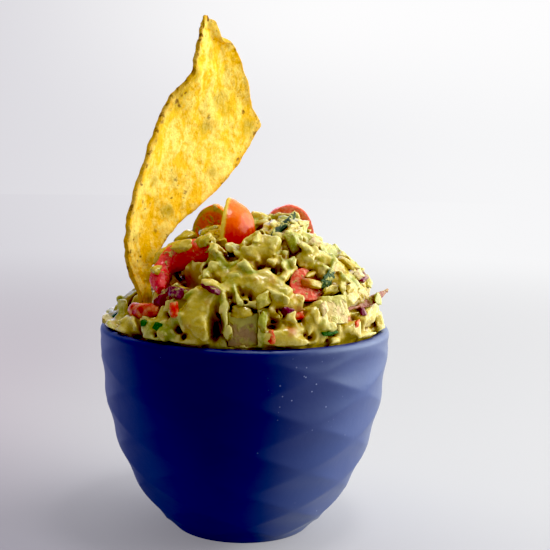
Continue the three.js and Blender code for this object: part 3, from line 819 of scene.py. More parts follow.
@dataclass
class DipBowl:
    """The glazed bowl: a turned cup whose outside is carved into soft lozenge scoops."""

    rim_radius: float = 44.0
    height: float = 62.5
    wall: float = 3.3
    floor: float = 6.5
    closing_depth: float = 68.9
    depth_power: float = 2.16
    radius_power: float = 2.19
    foot_bevel: float = 0.8
    foot_ring: float = 3.6
    foot_recess: float = 1.6
    lozenges: int = 7
    first_crossing: float = 7.9
    half_lozenge: float = 7.3
    pattern_turn: float = 1.7
    scoop: float = 0.66
    facets: int = 14
    lip_steps: int = 12
    inner_steps: int = 28
    floor_bend: float = 9.0
    lengths: list[float] = field(default_factory=list)
    depths: list[float] = field(default_factory=list)

    def __post_init__(self) -> None:
        """Measures the wall's curve from the rim down."""
        steps = 600
        self.depths = [self.height * i / steps for i in range(steps + 1)]
        self.lengths = [0.0]
        for above, below in zip(self.depths, self.depths[1:]):
            step = math.hypot(below - above, self.radius(above) - self.radius(below))
            self.lengths.append(self.lengths[-1] + step)

    def radius(self, depth: float) -> float:
        """Gives the outer radius at a depth below the rim."""
        rest = 1 - (depth / self.closing_depth) ** self.depth_power
        return self.rim_radius * rest ** (1 / self.radius_power)

    def wall_at(self, along: float) -> tuple[Vector, Vector]:
        """Gives the wall's outer point and outward normal in its section.

        Args:
            along: The way down the wall from the rim.

        Returns:
            The point and the normal, each as radius and height.
        """
        depth = float(np.interp(along, self.lengths, self.depths))
        step = 0.05
        low, high = max(depth - step, 0.0), min(depth + step, self.height)
        normal = Vector((high - low, self.radius(high) - self.radius(low))).normalized()
        return Vector((self.radius(depth), self.height - depth)), normal

    def scoop_depth(self, along: float, angle: float) -> float:
        """Gives the carved depth at a way down the wall and an angle from the front."""
        down = (along - self.first_crossing) / self.half_lozenge
        around = (angle - math.radians(self.pattern_turn)) / (math.pi / self.lozenges)
        first = 2 * (((around + down + 1) / 2) % 1) - 1
        second = 2 * (((around - down + 1) / 2) % 1) - 1
        fade = smoothstep(along, 1.8, 6.0) * smoothstep(self.lengths[-1] - along, 0.0, 4.0)
        return self.scoop * fade * (1 - first**2) * (1 - second**2)

    def profile(self) -> list[Vector]:
        """Gives the section from the middle of the foot, round the lip, to the inner floor."""
        standing = self.radius(self.height - self.foot_bevel) - self.foot_bevel
        inner_foot = standing - self.foot_ring
        points = [Vector((0, self.foot_recess)), Vector((inner_foot * 0.5, self.foot_recess)),
                  Vector((inner_foot - 1.6, self.foot_recess)),
                  Vector((inner_foot - 0.5, 0.5)), Vector((inner_foot, 0.0)),
                  Vector((standing, 0.0))]
        step = self.half_lozenge / self.facets
        count = int((self.lengths[-1] - self.foot_bevel - self.wall / 2) / step)
        for i in range(count + 1):
            points.append(self.wall_at(self.lengths[-1] - self.foot_bevel - i * step)[0])
        half = self.wall / 2
        for i in range(self.lip_steps + 1):
            angle = math.pi * i / self.lip_steps
            points.append(Vector((self.rim_radius - half + half * math.cos(angle),
                                  self.height - half + half * math.sin(angle))))
        last = self.lengths[-1] - self.floor_bend
        for i in range(self.inner_steps + 1):
            share = i / self.inner_steps
            point, normal = self.wall_at(self.wall + (last - self.wall) * share)
            inner = point - normal * self.wall
            if inner.y > self.floor + 1:
                points.append(inner)
        corner = points[-1]
        points += [Vector((corner.x - 2.0, self.floor + 0.3)),
                   Vector((corner.x - 4.5, self.floor)), Vector((0, self.floor))]
        return points

    def carve(self, corner: Vector) -> Vector:
        """Moves a vertex of the outer wall in by the depth of its scoop."""
        radius = math.hypot(corner.x, corner.y)
        depth = self.height - corner.z
        if depth < 1.0 or corner.z < self.foot_bevel or radius < self.radius(depth) - 0.4:
            return corner
        along = float(np.interp(depth, self.depths, self.lengths))
        angle = math.atan2(corner.x, -corner.y)
        _, normal = self.wall_at(along)
        inwards = self.scoop_depth(along, angle)
        new_radius = radius - normal.x * inwards
        share = new_radius / radius
        return Vector((corner.x * share, corner.y * share, corner.z - normal.y * inwards))

    def build(self) -> None:
        """Turns the section round the axis, carves it and dresses it."""
        points = self.profile()
        start = points[0]
        bpy.ops.mesh.primitive_plane_add(size=1, location=(0, 0, 0))
        bowl = bpy.context.object
        with editing(bowl):
            bpy.ops.mesh.select_all(action="SELECT")
            bpy.ops.mesh.merge(type="CENTER")
            bpy.ops.transform.translate(value=(start.x, 0, start.y))
            for before, after in zip(points, points[1:]):
                step = after - before
                bpy.ops.mesh.extrude_region_move(
                    TRANSFORM_OT_translate={"value": (step.x, 0, step.y)})
            bpy.ops.mesh.select_all(action="SELECT")
            bpy.ops.mesh.spin(steps=2 * self.lozenges * self.facets, angle=2 * math.pi,
                              center=(0, 0, 0), axis=(0, 0, 1))
        face_outwards(bowl)
        reshape(bowl, self.carve)
        settle(bowl, "glazed_bowl", "blue_glaze", ["bowl"], CobaltGlaze().material())


# ---- heap


class Hue(Enum):
    """How green a lump of avocado is, from its stone's side to its skin's side."""

    PALE = 0.0
    YELLOW = 0.25
    MIXED = 0.5
    OLIVE = 0.7
    GREEN = 1.0


PALE, YELLOW, MIXED, OLIVE, GREEN = Hue


Seat = tuple[Matrix, Hue]


@dataclass
class Lump:
    """One lump on the heap: where it lies, its half sizes in millimetres and its colour."""

    out: float
    around: float
    lift: float
    half: Triple
    turn: float
    hue: Hue = MIXED

    def seat(self, axes: Matrix, flatten: float = 1.0) -> Seat:
        """Gives the lump's place, turn and size on some axes, with its colour."""
        wide, deep, high = self.half
        spin = Matrix.Rotation(math.radians(self.turn), 4, "Z")
        return axes @ spin @ Matrix.Diagonal((wide, deep, high * flatten, 1)), self.hue


@dataclass
class HeapForm:
    """The heap's smooth form, which everything that lies on it is placed by."""

    mouth: float = 40.7
    rim: float = 62.5
    rise: float = 29.2
    lean: float = 6.0
    slump: float = 0.6
    extra_slump: float = 0.5
    rounds: int = 8

    def point(self, out: float, around: float) -> Vector:
        """Gives a point of the heap.

        Args:
            out: 0 at the peak and 1 at the bowl's mouth.
            around: The angle from +X in radians.

        Returns:
            The point in millimetres.
        """
        left = 1 - out * out
        slump = self.slump + self.extra_slump * max(0.0, -math.cos(around)) ** 2
        return Vector((out * self.mouth * math.cos(around) + left * self.lean,
                       out * self.mouth * math.sin(around),
                       self.rim + self.rise * max(left, 0.0) ** slump))

    def outwards(self, place: Vector) -> Vector:
        """Gives the direction out of the heap at the point of its form nearest a place."""
        out = min(math.hypot(place.x, place.y) / self.mouth, 0.98)
        for _ in range(self.rounds):
            shifted = place.x - (1 - out**2) * self.lean
            out = min(math.hypot(shifted, place.y) / self.mouth, 0.98)
        around = math.degrees(math.atan2(place.y, shifted))
        return self.axes(max(out, 0.02), around, 0).col[2].to_3d()

    def boldness(self, out: float, around: float) -> float:
        """Gives how far lumps stand out: fully at the front and back, less at the sides and peak."""
        from_front = abs((around + 90 + 180) % 360 - 180)
        full = max(1 - smoothstep(from_front, 32, 72), smoothstep(from_front, 118, 150))
        return (0.42 + 0.58 * full) * (0.80 + 0.20 * smoothstep(out, 0.2, 0.5))

    def settled(self, out: float, around: float) -> float:
        """Gives how much deeper lumps lie at the sides and the back, in millimetres."""
        side = 1 - (self.boldness(out, around) / self.boldness(out, -90) - 0.42) / 0.58
        return 1.5 * side * smoothstep(out, 0.2, 0.5) * (1 - smoothstep(out, 0.9, 1.0))

    def axes(self, out: float, around: float, lift: float) -> Matrix:
        """Gives local axes on the heap: X runs round it, Y up its slope and Z out of it.

        Args:
            out: 0 at the peak and 1 at the bowl's mouth.
            around: The angle from +X in degrees.
            lift: How far off the smooth form, in millimetres.

        Returns:
            The axes and their place as a matrix.
        """
        angle, step = math.radians(around), 1e-3
        round_it = self.point(out, angle + step) - self.point(out, angle - step)
        up_slope = self.point(out - step, angle) - self.point(out + step, angle)
        round_it.normalize()
        normal = round_it.cross(up_slope.normalized()).normalized()
        slope = normal.cross(round_it)
        rotation = Matrix((round_it, slope, normal)).transposed().to_4x4()
        return Matrix.Translation(self.point(out, angle) + normal * lift) @ rotation


HEAP = HeapForm()

# The larger pieces of avocado that shape the heap.
LARGE_LUMPS = [Lump(*row) for row in (
    (0.92, -113, 0.2, (6.4, 8.2, 4.4), -10, YELLOW),
    (0.94, -98.3, 0.6, (2.5, 6.4, 3.6), 5, OLIVE),
    (0.96, -84.6, 0.4, (2.5, 6.6, 3.2), -4, GREEN),
    (0.985, -76.6, 0, (6.6, 3.8, 4.2), 6, YELLOW),
    (0.985, -130.5, 0, (3.8, 3.1, 3.6), 0, GREEN),
    (0.985, -122, 0, (3.7, 3.5, 3.8), 12, GREEN),
    (0.96, -148, 0.2, (4.8, 4.8, 4.4), 30, YELLOW),
    (0.97, -162, 0, (4.6, 4.2, 4.0), -15, MIXED),
    (0.97, -177, 0, (4.2, 3.2, 3.6), 0, MIXED),
    (0.88, 174, 2.6, (4.0, 5.8, 3.4), 8, OLIVE),
    (0.66, -110.5, 0.4, (5.6, 4.6, 3.6), 0, OLIVE),
    (0.81, -98, 0.2, (5.0, 4.0, 3.6), 20, MIXED),
    (0.59, -92.4, 0.8, (2.8, 3.8, 3.2), -25, MIXED),
    (0.86, -79, 0.4, (6.0, 3.3, 3.5), -35, YELLOW),
    (0.61, -61, 0.6, (7.0, 3.2, 3.6), -50, MIXED),
    (0.7, -38, 0.2, (5.6, 5.0, 4.0), 0, YELLOW),
    (0.88, -40, 0, (5.6, 5.4, 4.2), 40, MIXED),
    (0.97, -29, 0, (6.6, 3.8, 4.0), 4, YELLOW),
    (0.96, -61, 0.2, (3.8, 4.8, 3.4), 25, MIXED),
    (0.5, -22, 0.2, (5.0, 4.6, 3.4), 60, GREEN),
    (0.24, -70, 0.2, (5.4, 4.6, 3.0), 0, MIXED),
    (0.8, -10, 0, (5.4, 5.6, 3.6), 15, YELLOW),
    (0.10, 160, 1.4, (5.0, 4.2, 3.6), 20, GREEN),
)]

# Smaller pieces that show at the front.
FRONT_LUMPS = [Lump(*row) for row in (
    (0.62, -94.3, 1.6, (1.7, 4.0, 1.6), -42, GREEN),
    (0.685, -83, 1.0, (2.8, 2.2, 2.0), 10, OLIVE),
    (0.717, -72.5, 1.0, (3.2, 2.0, 2.2), -25, MIXED),
    (0.82, -91.5, 1.4, (2.0, 2.2, 2.0), 0, GREEN),
    (0.746, -97.8, 1.2, (3.6, 3.0, 2.4), 30, PALE),
    (0.897, -94.3, 1.2, (2.2, 2.6, 2.0), 0, MIXED),
    (0.85, -101, 1.6, (3.2, 2.6, 2.2), 15, YELLOW),
    (0.693, -60, 1.0, (2.8, 2.2, 2.2), 20, MIXED),
    (0.672, -45, 1.2, (2.8, 2.2, 2.4), 0, YELLOW),
    (0.847, -36.5, 1.4, (2.6, 4.6, 2.6), 10, YELLOW),
    (0.88, -25, 1.2, (3.4, 3.6, 2.8), -20, YELLOW),
    (0.674, -16, 1.0, (2.6, 3.0, 2.6), 0, MIXED),
    (0.963, -64, 1.4, (3.0, 2.8, 2.2), 40, PALE),
    (0.947, -75, 1.6, (2.6, 1.7, 1.8), 0, YELLOW),
    (0.377, -70, 1.2, (4.6, 3.6, 2.6), 35, MIXED),
    (0.307, -95, -0.2, (3.6, 3.0, 2.0), -20, OLIVE),
    (0.393, -41, 1.2, (3.6, 3.4, 2.6), 10, OLIVE),
    (0.54, 172, 2.6, (5.0, 4.2, 3.6), 20, PALE),
    (0.62, -160, 3.4, (4.0, 3.8, 3.0), 10, YELLOW),
    (0.985, -44, 1.0, (3.4, 2.4, 2.2), -10, PALE),
    (0.985, -16, 0.8, (3.0, 2.6, 2.6), 0, YELLOW),
)]

# Pieces that lie on the bowl's lip.
LIP_LUMPS = [Lump(*row) for row in (
    (1.03, 176, 1.0, (5.2, 2.6, 3.4), 4, OLIVE),
    (1.04, -170, 1.0, (4.4, 2.8, 3.8), -6, YELLOW),
    (1.04, -158, 0.8, (3.6, 2.6, 3.2), 8, MIXED),
    (1.03, -147, 0.6, (3.0, 2.4, 2.8), -5, YELLOW),
    (1.01, -112, 0.2, (3.0, 1.8, 2.2), 13, PALE),
    (1.01, -70, 0.3, (2.8, 1.8, 2.2), 20, YELLOW),
    (1.02, -52, 0.3, (2.4, 1.6, 2.0), 8, PALE),
    (1.03, -33, 0.5, (3.6, 2.0, 2.4), -14, YELLOW),
    (1.02, -14, 0.6, (3.4, 2.4, 2.6), 5, MIXED),
    (1.02, 30, 0.4, (3.6, 2.4, 2.4), 0, GREEN),
    (1.02, 74, 0.4, (4.0, 2.2, 2.2), -8, YELLOW),
    (1.02, 118, 0.4, (3.6, 2.4, 2.4), 6, MIXED),
    (1.02, 150, 0.6, (3.8, 2.4, 2.6), 0, PALE),
)]


@dataclass
class Hollow:
    """A dark gap between lumps: where it lies, its radius and its depth in millimetres."""

    out: float
    around: float
    radius: float
    depth: float

    def place(self) -> Vector:
        """Gives the hollow's middle on the heap."""
        return HEAP.point(self.out, math.radians(self.around))


HOLLOWS = [Hollow(*row) for row in (
    (0.735, -134, 4.0, 5.6), (0.97, -102.5, 1.8, 3.5), (0.95, -104, 1.6, 3.5),
    (0.66, -88.4, 1.5, 3.0), (0.65, -72.0, 1.6, 3.0), (0.86, -92.6, 1.6, 3.0),
    (0.92, -80.3, 2.2, 4.2), (0.97, -79.3, 1.6, 3.0), (0.99, -137.5, 2.0, 2.5),
    (0.745, -81, 1.6, 3.0), (0.96, -47.5, 1.6, 3.0), (0.94, -92.0, 1.6, 3.0),
    (0.80, -108, 1.6, 2.5), (0.985, -54, 1.6, 2.5), (0.80, -50, 1.6, 2.5),
    (0.985, -142, 1.3, 3.0), (0.99, -126.5, 1.1, 2.8), (0.97, -117, 1.3, 3.4),
    (0.99, -69, 1.2, 3.0), (0.99, -64, 1.0, 2.4), (0.985, -37, 1.2, 2.8),
    (0.985, -22, 1.2, 2.8), (0.985, -155, 1.2, 2.8), (0.95, -88.5, 1.1, 3.2),
    (0.60, -79, 1.4, 2.6), (0.72, -58, 1.4, 2.6), (0.50, -88, 1.2, 2.2),
    (0.475, -109, 4.2, 5.4), (0.56, -106, 4.0, 3.8), (0.38, -118, 3.4, 2.6),
    (0.70, -128, 3.0, 2.6), (0.87, -150, 3.2, 4.4), (0.80, -158, 3.0, 3.6),
)]


# The toppings that no crumb lies on.
BARE = ("tomato_wedge_top", "red_onion_strip_right")


@dataclass
class Pocket:
    """The room that one topping takes up in the heap."""

    tree: BVHTree
    centre: Vector
    radius: float
    outwards: Vector
    bare: bool
    far: float = 60.0

    @classmethod
    def around(cls, name: str) -> "Pocket":
        """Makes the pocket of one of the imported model's solids."""
        corners = [corner.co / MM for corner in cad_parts[name].data.vertices]
        centre = sum(corners, Vector()) / len(corners)
        radius = max((corner - centre).length for corner in corners)
        return cls(tree_of(nodes=[name]), centre, radius, HEAP.outwards(centre), name in BARE)

    def press(self, places: np.ndarray, reach: float, gap: float) -> None:
        """Moves what lies in or over the topping to just under it.

        Args:
            places: The places to move, one row each.
            reach: How far over the topping it acts.
            gap: How far under the topping they end.
        """
        away = np.linalg.norm(places - np.array(self.centre), axis=1)
        for i in np.flatnonzero(away < self.radius + reach):
            place = Vector(places[i])
            if self.tree.ray_cast(place, -self.outwards, reach)[0] is None:
                continue
            start = place - self.far * self.outwards
            under = self.tree.ray_cast(start, self.outwards, self.far)[0]
            if under is not None:
                places[i] = under - gap * self.outwards

    def hidden_by(self, place: Vector, over: float, under: float) -> bool:
        """Tells whether a chunk at a place would cover the topping or lie in it."""
        if (place - self.centre).length > self.radius + over:
            return False
        start = place + under * self.outwards
        return self.tree.ray_cast(start, -self.outwards, over + under)[0] is not None


@dataclass
class Guacamole:
    """The heap: lumps of avocado fused by their mash, with crisper chunks lying on them."""

    spiral_count: int = 78
    spiral_large: float = 5.3
    spiral_small: float = 3.6
    crumb_count: int = 820
    crumb_radius: float = 1.5
    crisp_each: int = 12
    chunk_kinds: int = 6
    chunk_cuts: int = 8
    chunk_voxel: float = 0.14
    chunk_share: float = 0.12
    sink: float = 3.2
    rough_voxel: float = 0.9
    voxel: float = 0.44
    most_triangles: int = 190000
    cut_level: float = 58.0
    view_reach: float = 8.0
    pocket_reach: float = 4.0
    pocket_gap: float = 0.4
    lip_clearance: float = 0.6
    lip_overhang: float = 3.0
    squeeze: float = 2.4
    search: float = 12.0
    cover_over: float = 6.0
    cover_under: float = 10.0

    def core(self) -> Piece:
        """Makes the smooth core of the part that shows, a little below the heap's form."""
        bpy.ops.mesh.primitive_uv_sphere_add(segments=72, ring_count=40, radius=1)
        core = bpy.context.object

        def move(corner: Vector) -> Vector:
            """Puts a vertex of the ball on the core."""
            around = math.atan2(corner.y, corner.x)
            out = min(math.hypot(corner.x, corner.y), 1.0)
            if corner.z >= 0:
                return HEAP.point(0.985 * out, around) - Vector((0, 0, self.sink))
            foot = HEAP.point(0.985, around) - Vector((0, 0, self.sink))
            share = min(1.0, 2 * out)
            return Vector((foot.x * share, foot.y * share, foot.z + 14 * corner.z))

        reshape(core, move)
        return core

    def chunk(self, seed: int) -> Piece:
        """Models one torn and cut chunk of avocado, two across.

        Args:
            seed: Which chunk it is.

        Returns:
            The chunk, with flat cuts and softened edges.
        """
        draw = Draws(seed)
        bpy.ops.mesh.primitive_cube_add(size=2)
        chunk = bpy.context.object
        for _ in range(self.chunk_cuts):
            away = Vector((draw() - 0.5, draw() - 0.5, draw() - 0.5)).normalized()
            slice_off(chunk, away * draw.between(0.72, 1.02), away, clear_outer=True)
        remesh(chunk, self.chunk_voxel)
        smooth(chunk, 6)
        roughen(chunk, 0.8, 0.42, 2)
        apply_modifier(chunk, "DECIMATE", ratio=self.chunk_share)
        return chunk

    def spiral(self) -> list[Lump]:
        """Gives the lumps that cover the whole heap, each third one larger."""
        draw = Draws(20)
        lumps = []
        for k in range(self.spiral_count):
            climb = 1 - (k + 0.5) / self.spiral_count
            out = 0.99 * math.sqrt(1 - climb**2) + 0.03 * (draw() - 0.5)
            around = k * GOLDEN_ANGLE + 0.2 * (draw() - 0.5)
            base = self.spiral_large if k % 3 == 0 else self.spiral_small
            radius = base * (0.85 + 0.4 * draw())
            half = [radius * (share + 0.3 * (draw() - 0.5)) for share in (1.2, 1, 0.85)]
            half[2] *= HEAP.boldness(out, math.degrees(around))
            turn = 360 * draw()
            lift = radius * (0.1 - 0.4 * smoothstep(out, 0.86, 0.98)) - 0.2
            hue = list(Hue)[int(4.99 * ((k * 0.618) % 1))]
            lumps.append(Lump(min(out, 0.99), math.degrees(around), lift, tuple(half), turn, hue))
        return lumps

    def crumbs(self, ground: BVHTree, pockets: Sequence[Pocket]) -> list[Seat]:
        """Gives small chunks scattered on the heap, few of them on the toppings.

        Args:
            ground: What they lie on.
            pockets: The pockets of the toppings.

        Returns:
            Their places and colours.
        """
        draw = Draws(91)
        chip = tree_of(nodes=["tortilla_chip"])
        seats = []
        for k in range(self.crumb_count):
            climb = 1 - (k + 0.5) / self.crumb_count
            out = min(0.992 * math.sqrt(1 - climb**2) + 0.03 * (draw() - 0.5), 0.99)
            around = math.degrees(k * GOLDEN_ANGLE * 1.017 + 0.5 * (draw() - 0.5))
            radius = self.crumb_radius * draw.between(0.5, 1.4)
            radius *= 0.5 + 0.5 * HEAP.boldness(out, around)
            half = (radius * draw.between(1.0, 2.4), radius * draw.between(0.6, 1.05),
                    radius * draw.between(0.6, 1.05))
            lift = radius * draw.between(-0.3, 0.5)
            hue = list(Hue)[int(4.99 * draw())]
            spin = Matrix.Rotation(2 * math.pi * draw(), 4, "Z")
            tilt = Matrix.Rotation(1.3 * (draw() - 0.5), 4, "Y")
            spared = draw() < 0.1
            right = smoothstep(math.cos(math.radians(around)), 0.3, 0.8)
            crowded = draw() < 3.6 * (out - 0.72) + 0.3 * right
            axes, outwards, rest = self.landing(out, around, ground)
            if rest is None:
                continue
            place = rest + lift * outwards
            hollow = any((hollow.place() - place).length < hollow.radius + 0.7 * radius
                         for hollow in HOLLOWS)
            hidden = [pocket for pocket in pockets
                      if pocket.hidden_by(place, self.cover_over, self.cover_under)]
            spared = spared and not any(pocket.bare for pocket in hidden)
            clear = chip.find_nearest(place)[3] > 0.8 * radius
            if hollow or crowded or (hidden and not spared) or not clear:
                continue
            if hidden:
                half = tuple(0.55 * size for size in half)
                place = rest
            axes.translation = place
            seats.append((axes @ spin @ tilt @ Matrix.Diagonal((*half, 1)), hue))
        return seats

    def landing(self, out: float, around: float,
                ground: BVHTree) -> tuple[Matrix, Vector, Vector | None]:
        """Finds the ground over or under a place of the smooth form.

        Args:
            out: 0 at the peak and 1 at the bowl's mouth.
            around: The angle from +X in degrees.
            ground: What something is to lie on there.

        Returns:
            The heap's axes, the direction out of it and the ground's place, if it has one.
        """
        axes = HEAP.axes(out, around, 0)
        outwards = axes.col[2].to_3d()
        start = axes.translation + self.search * outwards
        return axes, outwards, ground.ray_cast(start, -outwards, 2 * self.search)[0]

    def resting(self, lump: Lump, ground: BVHTree) -> Seat:
        """Gives the seat of a lump whose lift counts from the ground under it."""
        axes, outwards, rest = self.landing(lump.out, lump.around, ground)
        if rest is not None:
            axes.translation = rest + lump.lift * outwards
        return lump.seat(axes)

    def seat(self, lump: Lump) -> Seat:
        """Gives the seat of a lump whose lift counts from the smooth form."""
        lift = lump.lift - HEAP.settled(lump.out, lump.around)
        flatten = 0.3 + 0.7 * HEAP.boldness(lump.out, lump.around)
        return lump.seat(HEAP.axes(lump.out, lump.around, lift), flatten)

    def copies(self, seats: Sequence[Seat]) -> list[Piece]:
        """Copies the kinds of chunk to their places.

        Args:
            seats: The chunks' places and colours.

        Returns:
            One piece for each place.
        """
        kinds = [self.chunk(11 + 3 * kind) for kind in range(self.chunk_kinds)]
        pieces = []
        for number, (place, hue) in enumerate(seats):
            piece = copy_of(kinds[number % self.chunk_kinds], place)
            store(piece, "tint", hue.value)
            pieces.append(piece)
        discard(*kinds)
        return pieces

    def fused(self, seats: Sequence[Seat], voxel: float) -> Piece:
        """Fuses lumps with the core into one skin of a given fineness."""
        whole = join([self.core(), *self.copies(seats)])
        remesh(whole, voxel)
        return whole

    def mash(self, seats: Sequence[Seat], pockets: Sequence[Pocket]) -> Piece:
        """Makes the fused heap and opens its hollows and pockets.

        Args:
            seats: The lumps to fuse.
            pockets: The pockets of the toppings.

        Returns:
            The mash, cut level below the rim.
        """
        mash = self.fused(seats, self.voxel)
        smooth(mash, 3)
        roughen(mash, 2.2, 0.55, 1)
        roughen(mash, 1.0, 0.15, 1)
        places = corners_of(mash)
        for hollow in HOLLOWS:
            axes = HEAP.axes(hollow.out, hollow.around, 1.0)
            centre, inwards = np.array(axes.translation), -np.array(axes.col[2][:3])
            offset = places - centre
            flat = offset - np.outer(offset @ inwards, inwards)
            reach = np.sqrt((flat**2).sum(1))
            for i in np.flatnonzero(reach < 3 * hollow.radius):
                reach[i] *= 1 + 0.55 * noise.noise(Vector(places[i]) * 0.42)
            near = np.exp(-((reach / hollow.radius) ** 2))
            near *= np.exp(-((offset @ inwards) ** 2) / (2.5 * hollow.radius) ** 2)
            places += np.outer(hollow.depth * near, inwards)
        for pocket in pockets:
            pocket.press(places, self.pocket_reach, self.pocket_gap)
        place_corners(mash, places)
        slice_off(mash, (0, 0, self.cut_level), (0, 0, 1), clear_inner=True)
        share = self.most_triangles / (2 * len(mash.data.polygons))
        if share < 1:
            apply_modifier(mash, "DECIMATE", ratio=share)
        return mash

    def hold_inside(self, piece: Piece) -> None:
        """Squeezes what reaches past the bowl's lip back inside it."""
        places = corners_of(piece)
        radius = np.hypot(places[:, 0], places[:, 1])
        above = np.clip((places[:, 2] - HEAP.rim) / 1.2, 0, 1)
        most = HEAP.mouth + self.lip_clearance + self.lip_overhang * above
        past = np.maximum(radius - (most - self.squeeze), 0)
        squeezed = most - self.squeeze + self.squeeze * (1 - np.exp(-past / self.squeeze))
        share = np.where(past > 0, squeezed / np.maximum(radius, 1e-6), 1)
        places[:, :2] *= share[:, None]
        place_corners(piece, places)

    def measure_mash(self, mash: Piece, seats: Sequence[Seat]) -> None:
        """Keeps on the mash what its material reads: how far each place stands out, and tint.

        Args:
            mash: The fused heap.
            seats: The lumps that it was made from.
        """
        places = corners_of(mash)
        normals = corners_of(mash, "normal")
        edges = np.zeros(len(mash.data.edges) * 2, int)
        mash.data.edges.foreach_get("vertices", edges)
        first, second = edges.reshape(-1, 2).T
        size = len(places)
        count = np.bincount(first, minlength=size) + np.bincount(second, minlength=size)

        def averaged(values: np.ndarray, rounds: int) -> np.ndarray:
            """Averages values with their neighbours a number of times."""
            for _ in range(rounds):
                summed = np.zeros_like(values)
                for axis in range(values.shape[1]):
                    summed[:, axis] = (np.bincount(first, values[second, axis], size)
                                       + np.bincount(second, values[first, axis], size))
                values = 0.3 * values + 0.7 * summed / np.maximum(count, 1)[:, None]
            return values

        height = ((places - averaged(places, 14)) * normals).sum(1)
        # How far each place stands out, which the mash's material turns into a painted highlight on
        # ridges.
        store(mash, "relief", np.clip(0.5 + 0.8 * height, 0, 1))
        tint, nearest = np.full(size, 0.45), np.full(size, 1.35)
        for place, hue in seats:
            back = np.array(place.inverted())
            distance = np.sqrt(((places @ back[:3, :3].T + back[:3, 3]) ** 2).sum(1))
            closer = distance < nearest
            tint[closer] = hue.value
            nearest[closer] = distance[closer]
        store(mash, "tint", averaged(tint[:, None], 2)[:, 0])

    def stain(self, piece: Piece) -> None:
        """Keeps on a piece where juice from the tomato and the onion has stained it."""
        places = corners_of(piece)
        for name, stains in (("red", RED_STAINS), ("purple", PURPLE_STAINS)):
            store(piece, name, spots(places, [(at, radius, 1) for *at, radius in stains]))

    def filling(self) -> Piece:
        """Makes the hidden filling of the bowl under the mash."""
        low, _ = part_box("guacamole")
        floor, top = low[2] / MM, self.cut_level + 0.5
        filling = rod(48, 12, 1, 2)
        bowl = DipBowl()

        def move(corner: Vector) -> Vector:
            """Puts a vertex of the rod just inside the bowl's wall."""
            height = floor + (top - floor) * (corner.z + 1) / 2
            radius = bowl.radius(bowl.height - height) - bowl.wall - 0.6
            if height < floor + 2:
                radius -= 5 * (1 - (height - floor) / 2)
            return Vector((corner.x * radius, corner.y * radius, height))

        reshape(filling, move)
        return filling

    def bits(self, lumps: Sequence[Lump], ground: BVHTree, slot: str,
             finish: WetTomato | WetOnion | CilantroLeaf) -> None:
        """Makes the small bits of one topping that lie all over the heap, as one piece.

        Args:
            lumps: The bits, with their lifts counted from the mash.
            ground: The mash that they lie on.
            slot: The material slot's name, handed on to settle.
            finish: Their finish, whose name is the piece's too.
        """
        piece = join(self.copies([self.resting(lump, ground) for lump in lumps]))
        self.hold_inside(piece)
        mottle(piece, 0.9)
        settle(piece, finish.name, slot, ["guacamole"], finish.material())

    def build(self) -> None:
        """Builds and dresses the mash, the chunks and bits on it and the filling under it."""
        toppings = sorted(set(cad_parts) - {"bowl", "guacamole", "tortilla_chip"})
        pockets = [Pocket.around(name) for name in toppings]
        lumps = LARGE_LUMPS + self.spiral() + FRONT_LUMPS + LIP_LUMPS
        large = [self.seat(lump) for lump in lumps]
        rough = self.fused(large, self.rough_voxel)
        crumbs = self.crumbs(tree_of(rough, nodes=toppings), pockets)
        discard(rough)
        crisp = crumbs[::self.crisp_each]
        melted = [seat for seat in crumbs if seat not in crisp]
        mash = self.mash(large + melted, pockets)
        self.hold_inside(mash)
        self.measure_mash(mash, large + melted)
        over = tree_of(mash, nodes=toppings)
        covers = [self.resting(lump, over) for lump in COVER_LUMPS]
        chunks = join(self.copies(crisp + covers))
        store(chunks, "relief", 0.62)
        self.hold_inside(chunks)
        ground = tree_of(mash, chunks)
        # How open each place is, which the mash's material turns into painted shade.
        for piece in (mash, chunks):
            store(piece, "open", openness(piece, ground, self.view_reach))
        filling = self.filling()
        for name in ("relief", "tint", "open"):
            store(filling, name, 0.5)
        for lumps, slot, look in BITS:
            self.bits(lumps, ground, slot, look)
        finish = MashedAvocado().material()
        for piece, name in ((mash, "guacamole_heap"), (chunks, "avocado_chunks"),
                            (filling, "guacamole_filling")):
            self.stain(piece)
            settle(piece, name, "mashed_avocado", ["guacamole"], finish)


